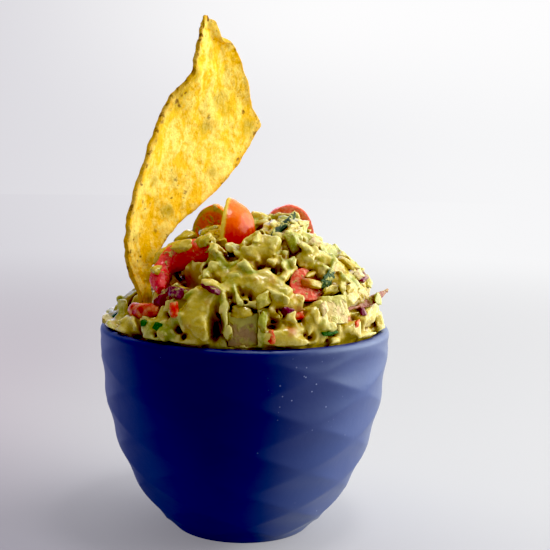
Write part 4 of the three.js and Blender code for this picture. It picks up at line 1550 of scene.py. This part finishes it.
# Pieces of avocado that lie on the toppings and the mash, their lifts counted from them.
COVER_LUMPS = [Lump(*row) for row in (
    (0.62, -141, 0.4, (5.2, 1.7, 1.2), 8, PALE), (0.55, -131, 0.3, (3.0, 1.6, 1.1), -12),
    (0.41, -144, 0.8, (2.2, 1.6, 1.3), 15, PALE), (0.45, -132, 0.8, (2.0, 1.5, 1.2), -30),
    (0.40, -172, 2.4, (4.0, 3.0, 2.8), 20, GREEN), (0.49, 178, 2.2, (3.4, 2.6, 2.4), -20),
    (0.33, -154, 1.4, (3.2, 2.2, 1.8), 10, PALE), (0.44, -121, 0.4, (3.0, 1.5, 1.3), -40),
    (0.25, -28, 0.9, (3.6, 2.8, 2.3), 20, OLIVE),
    (0.17, -8, 1.0, (3.4, 2.6, 2.0), -30, GREEN),
    (0.67, -148, 0.2, (3.4, 2.0, 1.3), 24, YELLOW),
    (0.76, -141, 0.6, (2.0, 1.7, 1.3), 0, PALE),
    (0.36, -165, 1.4, (4.6, 2.6, 2.6), 15, YELLOW), (0.45, -177, 1.0, (3.6, 2.6, 2.2), -10),
    (0.18, 10, 0.6, (4.2, 2.8, 2.0), 10, GREEN),
    (0.97, -100.5, 0.2, (1.3, 2.4, 1.1), 10, PALE), (0.90, -97, 0.3, (2.4, 1.3, 1.1), 16),
    (0.96, -84.4, 0.2, (1.2, 2.8, 1.2), -8, GREEN), (0.85, -47, 0.2, (1.6, 1.2, 0.9), 40),
    (0.84, -134, 0.1, (1.4, 1.0, 0.8), 30), (0.46, -128, 0.3, (1.8, 1.5, 1.2), 40, PALE),
    (0.93, -92, 0.4, (3.8, 1.8, 1.3), 4, YELLOW), (0.90, -85, 0.5, (2.4, 1.6, 1.2), 30),
    (0.74, -60, 0.3, (2.6, 0.9, 0.8), 25, PALE),
    (0.80, -61.5, 0.6, (3.3, 1.0, 0.9), -14, PALE),
    (0.86, -42, 0.2, (2.0, 1.3, 0.9), 10, PALE), (0.86, -6, 0.3, (2.4, 1.6, 1.1), 30),
    (0.93, -27, 0.3, (2.8, 1.7, 1.2), -20, GREEN), (0.36, -58, 0.2, (2.0, 1.4, 1.0), 60),
    (0.26, -30, 0.2, (1.8, 1.5, 1.0), 10, YELLOW), (0.46, -78, 0.3, (2.0, 1.3, 1.0), 0),
)]

# Small bits of the toppings all over the mash, their lifts counted from its surface.
TOMATO_BITS = [Lump(*row) for row in (
    (0.941, -70.3, 0.2, (2.0, 1.0, 0.9), 12), (0.99, -80.4, 0.3, (1.3, 2.0, 1.0), 0),
    (0.978, -42.6, 0.3, (1.2, 0.9, 0.8), 20), (0.886, -52.8, 0.5, (1.2, 1.8, 0.8), -30),
    (0.933, -118.4, 0.1, (1.3, 2.2, 0.7), 10), (0.919, -146, 0.5, (3.2, 1.2, 1.0), 10),
    (0.874, -128, 0.4, (2.2, 1.6, 1.0), -35),
    (0.50, 40, 0.0, (2.6, 1.6, 1.0), 30), (0.78, 40, 0.1, (2.2, 2.6, 1.0), -20),
    (0.86, 62, 0.4, (3.0, 1.8, 1.4), 60), (0.62, 100, 0.5, (2.4, 2.0, 1.5), 15),
    (0.90, 128, 0.4, (2.8, 1.6, 1.2), -40), (0.78, 158, 0.4, (2.2, 1.6, 1.2), 70),
    (0.94, 88, 0.3, (2.0, 2.4, 1.2), 5),
)]
PURPLE_BITS = [Lump(*row) for row in (
    (0.817, -19.2, 1.0, (2.2, 1.4, 1.2), 20), (0.95, -34.4, 0.4, (1.4, 1.2, 0.8), 0),
    (0.929, -75.0, 0.1, (1.8, 1.1, 0.9), -20), (0.865, -105.5, 0.7, (3.2, 0.9, 0.8), -28),
    (0.87, -121, 0.6, (2.6, 1.5, 0.9), -15), (0.85, -131, 0.5, (2.4, 1.6, 0.9), 25),
    (0.90, -137, 0.4, (1.8, 1.2, 0.8), -30), (0.70, 34, 0.6, (3.0, 0.9, 0.8), 40),
    (0.88, 100, 0.5, (3.2, 1.0, 0.8), -25), (0.60, 140, 0.6, (2.6, 1.0, 0.8), 70),
    (0.93, 40, 0.4, (2.6, 1.2, 0.8), 0), (0.95, 160, 0.4, (2.2, 1.2, 0.8), 30),
)]
ONION_BITS = [Lump(*row) for row in (
    (0.578, -54.6, 0.5, (1.6, 1.4, 0.9), 25), (0.70, -170, 1.6, (2.4, 2.2, 1.6), 20),
    (0.93, -60, 0.6, (1.6, 1.4, 1.0), 40), (0.66, 66, 0.7, (2.6, 2.4, 1.8), 30),
    (0.84, 118, 0.7, (2.4, 2.2, 1.6), -20), (0.90, 8, 0.6, (2.2, 2.0, 1.5), 60),
    (0.80, -30, 0.6, (1.6, 1.3, 1.0), 10),
)]
CILANTRO_BITS = [Lump(*row) for row in (
    (0.985, -56.5, 0.7, (2.6, 1.2, 0.35), 15), (0.97, -131.5, 0.6, (1.5, 1.1, 0.35), 30),
    (0.975, -124.7, 0.6, (1.6, 1.2, 0.35), -20), (0.97, -172, 0.7, (2.2, 1.5, 0.35), 70),
    (0.80, 50, 0.8, (2.6, 1.4, 0.35), 25), (0.72, 120, 0.8, (2.4, 1.3, 0.35), -35),
    (0.94, 75, 0.7, (2.2, 1.2, 0.35), 60), (0.50, 10, 0.8, (2.0, 1.0, 0.35), -15),
)]
BITS = (
    (TOMATO_BITS, "tomato",
     WetTomato((0.74, 0.10, 0.012), coated=0.08, name="tomato_bits", warm_up=84)),
    (PURPLE_BITS, "red_onion",
     WetOnion((0.15, 0.012, 0.035), (0.34, 0.10, 0.14), coated=0.10, name="purple_bits")),
    (ONION_BITS, "white_onion",
     WetOnion((0.74, 0.60, 0.24), (0.66, 0.38, 0.24), coated=0.12, name="onion_bits")),
    (CILANTRO_BITS, "cilantro",
     CilantroLeaf((0.05, 0.15, 0.03), coated=0.05, name="cilantro_bits")),
)

# Stains of juice on the mash: x, y, z and radius in millimetres.
RED_STAINS = [
    (-18.6, -21, 78, 4.6), (-20, -24, 76, 5.0), (-24, -26, 72, 4.5), (-29, -24, 70, 3.5),
    (16, -30, 79, 3.0), (6.3, -40, 65, 2.4), (14.7, -36, 72.3, 2.0), (-19, -33, 70, 2.4),
    (12, -40, 67, 2.2), (29.5, -27, 68.5, 1.8), (-4, -12, 84, 3.0),
]
PURPLE_STAINS = [
    (-22, -28, 73, 4.0), (-16, -30, 76, 3.2), (11.4, -36.2, 73.3, 1.8), (33, -11, 79.4, 2.0),
    (33, -21.5, 71, 2.0), (7.2, -37.2, 73.4, 2.4), (-10.5, -33, 76, 1.8),
]


# ---- corn chip


# Toasted marks, and painted shadows beside the blisters on the chip: way across, way up and radius
# in millimetres.
CHIP_MARKS = [
    (0.02, 0.904, 0.7), (0.07, 0.611, 1.2), (0.12, 0.600, 0.8), (0.09, 0.657, 0.7),
    (0.10, 0.544, 0.6), (0.96, 0.531, 1.0), (0.83, 0.665, 0.9), (0.39, 0.280, 0.7),
    (0.20, 0.264, 0.6), (0.42, 0.180, 0.6), (0.12, 0.473, 0.5), (0.19, 0.414, 0.45),
    (0.15, 0.536, 0.55), (0.06, 0.40, 0.6), (0.05, 0.33, 0.7), (0.30, 0.99, 0.8),
    (0.62, 0.40, 0.5), (0.55, 0.20, 0.5), (0.35, 0.35, 0.45), (0.08, 0.22, 0.6),
]
CHIP_SHADOWS = [
    (0.54, 0.678, 3.6), (0.60, 0.65, 3.0), (0.47, 0.569, 2.6), (0.88, 0.623, 3.4),
    (0.06, 0.66, 3.4), (0.03, 0.74, 2.6), (0.98, 0.126, 3.6), (0.98, 0.059, 3.6),
    (0.90, 0.20, 2.6), (0.10, 0.60, 2.6), (0.70, 0.36, 2.6), (0.02, 0.50, 2.4),
    (0.80, 0.48, 2.2), (0.36, 0.83, 2.0), (0.25, 0.42, 1.8),
]


@dataclass
class CornChip:
    """The corn chip: a three-cornered curved sheet stood on one corner in the heap."""

    free_edge: Sequence[Triple] = (
        (-29.4, -13, 62), (-30.6, -13.8, 70), (-34.9, -15, 82.5), (-35.3, -15.5, 90),
        (-33.4, -14, 101.2), (-29.6, -11.6, 112), (-25.5, -7, 125.4), (-22.2, -5, 131.8),
        (-18.1, -3, 136.5), (-16.5, -2, 142.8), (-15.5, -0.5, 149.1), (-14.2, 1, 154.6))
    long_edge: Sequence[Triple] = (
        (-28, -11.8, 62), (-28.4, -10, 74), (-28.1, -8, 80.7), (-26.4, -5, 85),
        (-22.3, 2, 91.6), (-16.1, 8.5, 97), (-6.7, 16, 106), (-0.6, 21, 114.4),
        (4.1, 24, 122.7))
    top_edge: Sequence[Triple] = (
        (4.1, 24, 122.7), (1.2, 20, 129.6), (-0.4, 16, 136.4), (-3.4, 12, 143.4),
        (-6, 9, 147.8), (-8.9, 5.6, 149), (-11.6, 2.6, 154))
    corner: float = 0.64
    thickness: float = 1.45
    bulge: float = 2.4
    columns: int = 44
    rows: int = 120
    blisters: int = 46
    highest_blister: float = 0.75
    wide: float = 26.0
    tall: float = 80.0
    toasted_edge: float = 2.2
    step: float = 0.004

    def sheet_point(self, u: float, v: float) -> Vector:
        """Gives a point of the chip's smooth middle surface.

        Args:
            u: 0 at the free edge and 1 at the far edge.
            v: 0 at the buried corner and 1 at the tip.

        Returns:
            The point in millimetres.
        """
        left = on_curve(self.free_edge, v)
        if v < self.corner:
            right = on_curve(self.long_edge, v / self.corner)
        else:
            right = on_curve(self.top_edge, (v - self.corner) / (1 - self.corner))
        across = right - left
        wide = min(1.0, across.length / 30)
        bulge = self.bulge * math.sin(math.pi * min(max(u, 0), 1)) * wide
        ripple = 0.7 * math.sin(9 * v + 5 * u) * wide
        outward = Vector((across.y, -across.x, 0)).normalized()
        ragged = 0.0
        if u < 0.01 or u > 0.99:
            at = Vector((0, u * 7, v * 30))
            ragged = 0.75 * noise.noise(at) + 0.45 * noise.noise(at * 2.4)
        inset = ragged / max(across.length, 4)
        share = u + (inset if u < 0.5 else -inset)
        return left + across * share + outward * (ripple - bulge)

    def build(self) -> None:
        """Shapes a grid into the chip, raises its blisters and gives it its thickness."""
        bpy.ops.mesh.primitive_grid_add(x_subdivisions=self.columns, y_subdivisions=self.rows,
                                        size=1)
        chip = bpy.context.object
        shares = corners_of(chip)[:, :2] + 0.5
        middle, ahead, beside = (
            np.array([self.sheet_point(u + across, v + up) for u, v in shares])
            for across, up in ((0, 0), (0, self.step), (self.step, 0)))
        normals = np.cross(beside - middle, ahead - middle)
        normals /= np.maximum(np.linalg.norm(normals, axis=1), 1e-9)[:, None]
        draw = Draws(5)
        raised = spots(middle, [
            (middle[int(draw() * len(middle))], draw.between(1.4, 3.4),
             draw.between(0.2, self.highest_blister)) for _ in range(self.blisters)])
        fine = np.array([noise.noise(Vector(p) * 0.35) + 0.5 * noise.noise(Vector(p) * 0.8)
                         for p in middle])
        place_corners(chip, middle + normals * (raised + 0.32 * fine)[:, None])
        store(chip, "blister", raised / self.highest_blister)
        for name, marks in (("freckle", CHIP_MARKS), ("shadow", CHIP_SHADOWS)):
            store(chip, name, spots(middle, [
                (self.sheet_point(u, v), radius, 1) for u, v, radius in marks]))
        u, v = shares.T
        reach = np.minimum(np.minimum(u, 1 - u) * self.wide, (1 - v) * self.tall)
        store(chip, "edge", np.clip(1 - reach / self.toasted_edge, 0, 1))
        thicken(chip, self.thickness)
        roughen(chip, 1.3, 0.30, 3)
        settle(chip, "corn_chip", "fried_corn", ["tortilla_chip"], FriedCorn().material())


# ---- toppings


@dataclass
class TomatoWedge:
    """A wedge of tomato: a slice of an egg shape between two planes through its long axis."""

    name: str
    half: Triple
    spread: float
    at: Triple
    turn: Triple
    finish: WetTomato = WetTomato()
    uneven: float = 0.25
    voxels: int = 26

    def build(self) -> None:
        """Slices the egg, hollows its cut faces and dresses the wedge."""
        bpy.ops.mesh.primitive_uv_sphere_add(segments=56, ring_count=32, radius=1)
        wedge = bpy.context.object
        reshape(wedge, lambda c: Vector(a * b for a, b in zip(c, self.half)))
        angle = math.radians(self.spread / 2)
        for side in (1, -1):
            normal = (math.sin(angle), side * math.cos(angle), 0)
            slice_off(wedge, (0, 0, 0), normal, clear_inner=True)
        remesh(wedge, min(self.half) / self.voxels)
        places = corners_of(wedge)
        reach = np.sqrt(((places / np.array(self.half)) ** 2).sum(1))
        cut = np.clip((0.985 - reach) / 0.02, 0, 1)
        store(wedge, "cut", cut)
        from_cut = math.sin(angle) * places[:, 0] + math.cos(angle) * places[:, 1]
        from_skin = (1 - reach) * min(self.half)
        from_edge = np.where(cut > 0.5, from_skin, from_cut)
        store(wedge, "rim", np.exp(-((from_edge / 1.3) ** 2)))
        smooth(wedge, 3)
        places = corners_of(wedge)
        depth = np.clip((0.86 - reach) / 0.4, 0, 1) * np.clip((reach - 0.12) / 0.2, 0, 1)
        sides = np.sign(places[:, 1])
        places[:, 1] -= sides * depth * 0.16 * np.abs(places[:, 1])
        place_corners(wedge, places)
        roughen(wedge, 6.0, 3 * self.uneven, 1)
        roughen(wedge, 2.2, self.uneven, 2)
        wedge.data.transform(turned(self.at, self.turn))
        settle(wedge, f"{self.name}_piece", "tomato", [self.name], self.finish.material())


@dataclass
class Strip:
    """A soft strip of tomato or onion that follows a few points."""

    name: str
    path: Sequence[Triple]
    width: float
    height: float
    slot: str
    finish: WetTomato | WetOnion
    wander: float = 0.5
    voxels: int = 14

    def build(self) -> None:
        """Bends a rod along the points and roughens it."""
        strip = rod(28, 40, 0.5, 1)

        def move(corner: Vector) -> Vector:
            """Puts a vertex of the straight rod on the bent strip."""
            share = corner.z + 0.5
            here, before, after = (on_curve(self.path, share + step) for step in (0, -0.01, 0.01))
            ahead = (after - before).normalized()
            upwards = (Vector((0, 0, 1)) - ahead * ahead.z).normalized()
            sideways = ahead.cross(upwards)
            taper = 0.55 + 0.45 * min(1.0, 5 * min(share, 1 - share))
            spread = 1 + self.wander * 0.5 * noise.noise(Vector((share * 4, self.width, 3.1)))
            return (here + sideways * corner.x * self.height * taper * spread
                    + upwards * corner.y * self.width * taper * spread)

        reshape(strip, move)
        remesh(strip, self.height / self.voxels)
        mottle(strip, 0.55)
        roughen(strip, 1.6, 0.5 * self.wander, 2)
        settle(strip, f"{self.name}_piece", self.slot, [self.name], self.finish.material())


@dataclass
class OnionDie:
    """A die cut from an onion: part of a ring, so that two of its sides are curved."""

    name: str
    inner: float
    outer: float
    sweep: float
    tall: float
    at: Triple
    turn: Triple
    finish: WetOnion = WetOnion()
    voxel: float = 0.22

    def build(self) -> None:
        """Bends a block into the die, rounds its edges and raises its layers."""
        bpy.ops.mesh.primitive_cube_add(size=1)
        die = bpy.context.object
        with editing(die):
            bpy.ops.mesh.select_all(action="SELECT")
            bpy.ops.mesh.subdivide(number_cuts=15)
        half = math.radians(self.sweep / 2)
        middle = (self.inner + self.outer) / 2

        def move(corner: Vector) -> Vector:
            """Puts a vertex of the block on the ring."""
            radius = middle + corner.x * (self.outer - self.inner)
            angle = 2 * half * corner.y
            return Vector((radius * math.cos(angle) - middle, radius * math.sin(angle),
                           corner.z * self.tall))

        reshape(die, move)
        remesh(die, self.voxel)
        smooth(die, 5)
        roughen(die, 2.4, 0.5, 2)
        roughen(die, 0.8, 0.12, 1)
        die.data.transform(turned(self.at, self.turn))
        settle(die, f"{self.name}_piece", "white_onion", [self.name], self.finish.material())


@dataclass
class Blade:
    """A leaf or a shaved strip: a wavy sheet along a few points."""

    name: str
    path: Sequence[Triple]
    side: Triple
    width: float
    widest: float
    thickness: float
    wave: float
    slot: str
    finish: CilantroLeaf | WetOnion
    lobes: float = 0.0

    def build(self) -> None:
        """Shapes a grid into the blade and gives it its thickness."""
        bpy.ops.mesh.primitive_grid_add(x_subdivisions=14, y_subdivisions=40, size=1)
        blade = bpy.context.object
        sideways = Vector(self.side).normalized()

        def move(corner: Vector) -> Vector:
            """Puts a vertex of the grid on the blade."""
            across, along = corner.x, corner.y + 0.5
            if along < self.widest:
                spread = math.sin(math.pi / 2 * along / self.widest) ** 0.7
            else:
                rest = (along - self.widest) / (1 - self.widest)
                spread = max(math.cos(math.pi / 2 * rest), 0.0) ** 0.7
            breadth = self.width * (0.16 + 0.84 * spread)
            breadth *= 1 + self.lobes * math.sin(21 * along + (1.5 if across > 0 else 0))
            point = on_curve(self.path, along) + sideways * across * breadth
            point.z += self.wave * math.sin(7 * along + 3.5 * (across + 0.5))
            return point

        reshape(blade, move)
        thicken(blade, self.thickness)
        roughen(blade, 1.4, 0.22, 2)
        settle(blade, f"{self.name}_piece", self.slot, [self.name], self.finish.material())


def toppings() -> list[TomatoWedge | Strip | OnionDie | Blade]:
    """Gives every topping, each in the place of its node."""
    return [
        TomatoWedge("tomato_wedge_top", (10.5, 10.5, 11.8), 72, (-6.8, -5, 89.4), (-8, -4, -60),
                    WetTomato((0.80, 0.15, 0.004), (0.58, 0.016, 0.005), (0.80, 0.13, 0.004),
                              (0.92, 0.24, 0.010), edged=0.85, coated=0.01,
                              name="tomato_top", warm_up=93)),
        TomatoWedge("tomato_back_right", (10, 10, 8.6), 70, (12.8, 12.4, 88.2), (90, -64, 90),
                    WetTomato((0.86, 0.14, 0.07), (0.76, 0.07, 0.05), (0.86, 0.20, 0.13),
                              (0.88, 0.36, 0.24), coated=0.06, name="tomato_back_right",
                              warm_up=94), uneven=0.55),
        TomatoWedge("tomato_back_left", (11, 11, 7), 60, (-10.6, 6.5, 87.2), (90, -70, 80),
                    WetTomato((0.88, 0.20, 0.012), (0.80, 0.10, 0.008), (0.86, 0.20, 0.02),
                              (0.88, 0.34, 0.04), edge=(0.60, 0.48, 0.06), edged=0.95,
                              coated=0.19, name="tomato_back_left", warm_up=92), uneven=0.6),
        TomatoWedge("tomato_front", (5.4, 5.4, 5.2), 150, (17.4, -29.4, 79), (0, 35, 122),
                    WetTomato((0.78, 0.10, 0.03), (0.60, 0.03, 0.02), (0.74, 0.10, 0.06),
                              (0.80, 0.40, 0.22), coated=0.14, name="tomato_front",
                              warm_up=80)),
        TomatoWedge("tomato_back_low", (8, 8, 9), 76, (-6, 24, 82), (40, 0, 96),
                    WetTomato(coated=0.2, name="tomato_back_low", warm_up=82)),
        Strip("tomato_slice_left",
              ((-9.8, -18.5, 86.6), (-16.8, -16.5, 85.6), (-22.4, -17, 82.8),
               (-24.8, -20, 78.6), (-24, -25, 75.6)), 6.4, 4.6, "tomato",
              WetTomato((0.80, 0.12, 0.02), (0.78, 0.040, 0.045), (0.78, 0.07, 0.07),
                        (0.84, 0.26, 0.16), coated=0.14, name="tomato_slice", warm_up=86),
              wander=1.3),
        Strip("tomato_strip_left",
              ((-33.4, -18.4, 69), (-29.8, -24, 69.6), (-24.2, -29, 70.6)), 4.4, 3.4, "tomato",
              WetTomato((0.70, 0.08, 0.02), (0.45, 0.015, 0.012), coated=0.08,
                        name="tomato_strip", warm_up=72)),
        Strip("red_onion_left",
              ((-25.6, -27.2, 72.4), (-21.4, -29.4, 74), (-16.6, -30.6, 76)), 4, 2.4,
              "red_onion", WetOnion((0.17, 0.008, 0.016), (0.30, 0.04, 0.07), coated=0.08,
                                    name="red_onion_left")),
        Blade("red_onion_strip_right",
              ((28.6, -26, 71), (35.4, -20.4, 72.8), (41.8, -13.6, 75.2)), (-0.3, 0.2, 1), 1.8,
              0.3, 0.6, 0.7, "red_onion",
              WetOnion((0.38, 0.13, 0.06), (0.22, 0.02, 0.04), coated=0.10,
                       name="red_onion_strip")),
        # Painted shade: the front die's onion is darker and browner than the other dice, for its
        # shaded front face.
        OnionDie("onion_dice_front", 14, 20, 24, 9.4, (-0.6, -37.2, 67.4), (0, 0, -92),
                 WetOnion((0.50, 0.33, 0.14), (0.42, 0.24, 0.10), coated=0.14,
                          name="onion_front", cap=69.5)),
        OnionDie("onion_dice_right", 14, 20, 24, 8, (23.8, -29.4, 71.6), (0, -12, -62),
                 WetOnion((0.78, 0.62, 0.24), (0.74, 0.50, 0.26), coated=0.16,
                          name="onion_right", cap=75.0)),
        OnionDie("onion_dice_back", 14, 20, 24, 8, (17, 30.4, 74), (0, -24, 58),
                 WetOnion(coated=0.22, name="onion_back")),
        Blade("cilantro_leaf_top", ((5.3, -23.4, 88.2), (9.8, -16, 93.4), (14.2, -5.6, 96.6)),
              (0.5, -0.1, -0.45), 2.4, 0.45, 0.6, 0.5, "cilantro",
              CilantroLeaf(coated=0.24, name="cilantro_top"), 0.2),
        Blade("cilantro_leaf_front", ((21.4, -27.8, 77.4), (23, -27, 80), (24.2, -25.4, 82.8)),
              (0.7, 0.5, -0.2), 4, 0.5, 0.6, 0.3, "cilantro",
              CilantroLeaf((0.08, 0.13, 0.06), coated=0.2, name="cilantro_front"), 0.16),
    ]


# ---- studio


@dataclass
class Studio:
    """The pale floor, the soft lights and the camera."""

    bright: Colour = (0.93, 0.93, 0.94)
    shaded: Colour = (0.67, 0.655, 0.70)
    floor_bright: Colour = (0.53, 0.525, 0.53)
    floor_shaded: Colour = (0.25, 0.235, 0.285)
    floor_shade_tint: Colour = (0.90, 0.80, 0.86)
    floor_mirrored: Colour = (0.03, 0.04, 0.09)
    sky: Colour = (0.93, 0.96, 1.0)
    light_pool: Colour = (0.985, 0.98, 0.985)
    glow: float = 1.0
    dim: float = 0.015
    ambient: float = 0.28
    window: float = 8.3
    fill: float = 1.30
    skylight: float = 1.15
    spark: float = 0.8
    cool: Colour = (2.16, 2.12, 1.40)
    cool_left: Colour = (1.50, 1.62, 2.75)
    black: Colour = (0.024, 0.026, 0.021)
    floor_radius: float = 1.6
    stand: Triple = (0.0, -346.8, 123.0)
    yaw: float = 1.45
    pitch: float = 7.47
    roll: float = 1.28
    focal_pixels: float = 1145.0
    frame_pixels: float = 550.0
    sensor: float = 36.0

    def camera(self) -> None:
        """Sets up the camera."""
        lens = bpy.data.cameras.new("camera")
        lens.sensor_width = self.sensor
        lens.lens = self.sensor * self.focal_pixels / self.frame_pixels
        lens.clip_start, lens.clip_end = 0.01, 20.0
        yaw, pitch, roll = (math.radians(a) for a in (self.yaw, self.pitch, self.roll))
        ahead = Vector((math.sin(yaw) * math.cos(pitch), math.cos(yaw) * math.cos(pitch),
                        -math.sin(pitch)))
        right = ahead.cross(Vector((0, 0, 1))).normalized()
        up = right.cross(ahead)
        x_axis = right * math.cos(roll) + up * math.sin(roll)
        y_axis = up * math.cos(roll) - right * math.sin(roll)
        camera = bpy.data.objects.new("camera", lens)
        rotation = Matrix((x_axis, y_axis, -ahead)).transposed().to_4x4()
        camera.matrix_world = Matrix.Translation(Vector(self.stand) * MM) @ rotation
        bpy.context.scene.collection.objects.link(camera)
        bpy.context.scene.camera = camera

    def lamp(self, name: str, at: Triple, aim: Triple, size: float, power: float,
             mirrored: bool = True) -> None:
        """Adds a soft square light.

        Args:
            name: The light's name.
            at: Where it hangs, in metres.
            aim: What it points at, in metres.
            size: Its side in metres.
            power: Its power in watts.
            mirrored: Whether shiny surfaces mirror it.
        """
        light = bpy.data.lights.new(name, "AREA")
        light.shape, light.size, light.energy = "SQUARE", size, power
        holder = bpy.data.objects.new(name, light)
        direction = (Vector(aim) - Vector(at)).normalized()
        holder.matrix_world = (Matrix.Translation(at)
                               @ direction.to_track_quat("-Z", "Y").to_matrix().to_4x4())
        holder.visible_glossy = mirrored
        bpy.context.scene.collection.objects.link(holder)

    def backdrop_colour(self, shader: Shader, across: Signal) -> Signal:
        """Gives the backdrop's colour, which brightens from the left to the right.

        Args:
            shader: The shader that asks.
            across: The sine of the direction's angle, -1 at the left and 1 at the right.

        Returns:
            The colour.
        """
        return shader.mix(across.rise(-0.42, 0.26), self.shaded, self.bright)

    def mirrored_colour(self, shader: Shader, across: Signal) -> Signal:
        """Gives the colour that shiny surfaces mirror, from the same two values."""
        return shader.mix(across.rise(-0.5, 0.5), self.cool_left, self.cool)

    def surroundings(self) -> None:
        """Makes the pale backdrop and the soft light that comes with it."""
        world = bpy.data.worlds.new("studio")
        bpy.context.scene.world = world
        shader = Shader(world)
        where = shader.value("TexCoord", output="Generated")
        x, y = shader.axis(where, "X"), shader.axis(where, "Y")
        soft = self.ambient * shader.ray("Diffuse")
        glow = self.dim + (self.glow - self.dim) * (0.72 * y + 0.69 * x).rise(-0.15, 0.95) + soft
        light = shader.mix(shader.ray("Glossy"), self.sky, self.mirrored_colour(shader, x))
        lit = shader.value("Background", {"Color": light, "Strength": glow})
        # Painted pool of light: the backdrop brightens towards its upper right.
        light_pool = shader.axis(where, "Z").rise(-0.02, 0.10) * x.rise(-0.25, 0.10)
        backdrop = shader.mix(light_pool, self.backdrop_colour(shader, x), self.light_pool)
        seen = shader.value("Background", {"Color": backdrop})
        both = shader.value("MixShader", {0: shader.ray("Camera"), 1: lit, 2: seen})
        shader.show(both, "OutputWorld")

    def floor(self) -> None:
        """Lays the pale floor, which fades into the backdrop."""
        bpy.ops.mesh.primitive_circle_add(vertices=96, radius=self.floor_radius,
                                          fill_type="NGON", location=(0, 0, 0))
        floor = bpy.context.object
        floor.name = "floor"
        shader = new_shader("pale_floor")
        place = shader.place()
        distance = shader.value("VectorMath", {0: place}, "Value", operation="LENGTH")
        x, y = shader.axis(place, "X"), shader.axis(place, "Y")
        # Painted shade: the floor darkens towards the front and the left, with a pink-lavender tint
        # at the left.
        paint = shader.mix((x + 1.5 * y).rise(-200, 150), self.floor_shaded, self.floor_bright)
        paint = shader.mix((0 - x).rise(20, 130), paint, self.floor_shade_tint, "MULTIPLY")
        across, behind = x / (distance + 1), y / (distance + 1)
        dark_side = 1 - across.rise(0.05, 0.95) - 0.6 * behind.rise(0.1, 0.8)
        dark_side = dark_side - 0.12 * (0 - across).rise(0.5, 0.95)
        # Painted reflection: shiny surfaces see the floor's front and left side dark.
        glossy = shader.ray("Glossy")
        mirrored = glossy * dark_side
        paint = shader.mix(mirrored * 0.85, paint, self.floor_mirrored)
        body = shader.value("BsdfPrincipled", {
            "Base Color": paint, "Roughness": 0.8, "Specular IOR Level": 0.2})
        light = shader.mix(glossy, self.backdrop_colour(shader, across),
                           self.mirrored_colour(shader, across))
        glow = shader.value("Emission", {"Color": light})
        # The floor glows with a share of the backdrop's colour, 30% even beside the bowl, which
        # paints light into its shadows.
        fade = (0.3 + 0.7 * distance.rise(140, 800)) * (1 - 0.95 * mirrored)
        both = shader.value("MixShader", {0: fade, 1: body, 2: glow})
        floor.data.materials.append(shader.show(both))

    def build(self) -> None:
        """Sets the whole studio up."""
        self.camera()
        self.surroundings()
        self.floor()
        heap = (0.0, 0.0, 0.08)
        self.lamp("window", (0.70, 0.04, 0.24), heap, 0.80, self.window)
        self.lamp("fill", (-0.70, 0.03, 0.24), heap, 0.90, self.fill, mirrored=False)
        self.lamp("skylight", (0.08, 0.10, 0.62), heap, 0.80, self.skylight)
        self.lamp("spark", (0.11, -0.07, 0.56), heap, 0.11, self.spark)
        view = bpy.context.scene.view_settings
        view.view_transform = "Standard"
        view.use_curve_mapping = True
        view.curve_mapping.black_level = self.black


def main() -> None:
    """Builds the studio, the bowl and everything in it."""
    logging.basicConfig(level=logging.INFO, format="%(name)s: %(message)s")
    Studio().build()
    DipBowl().build()
    Guacamole().build()
    CornChip().build()
    for topping in toppings():
        topping.build()


if __name__ == "__main__":
    main()
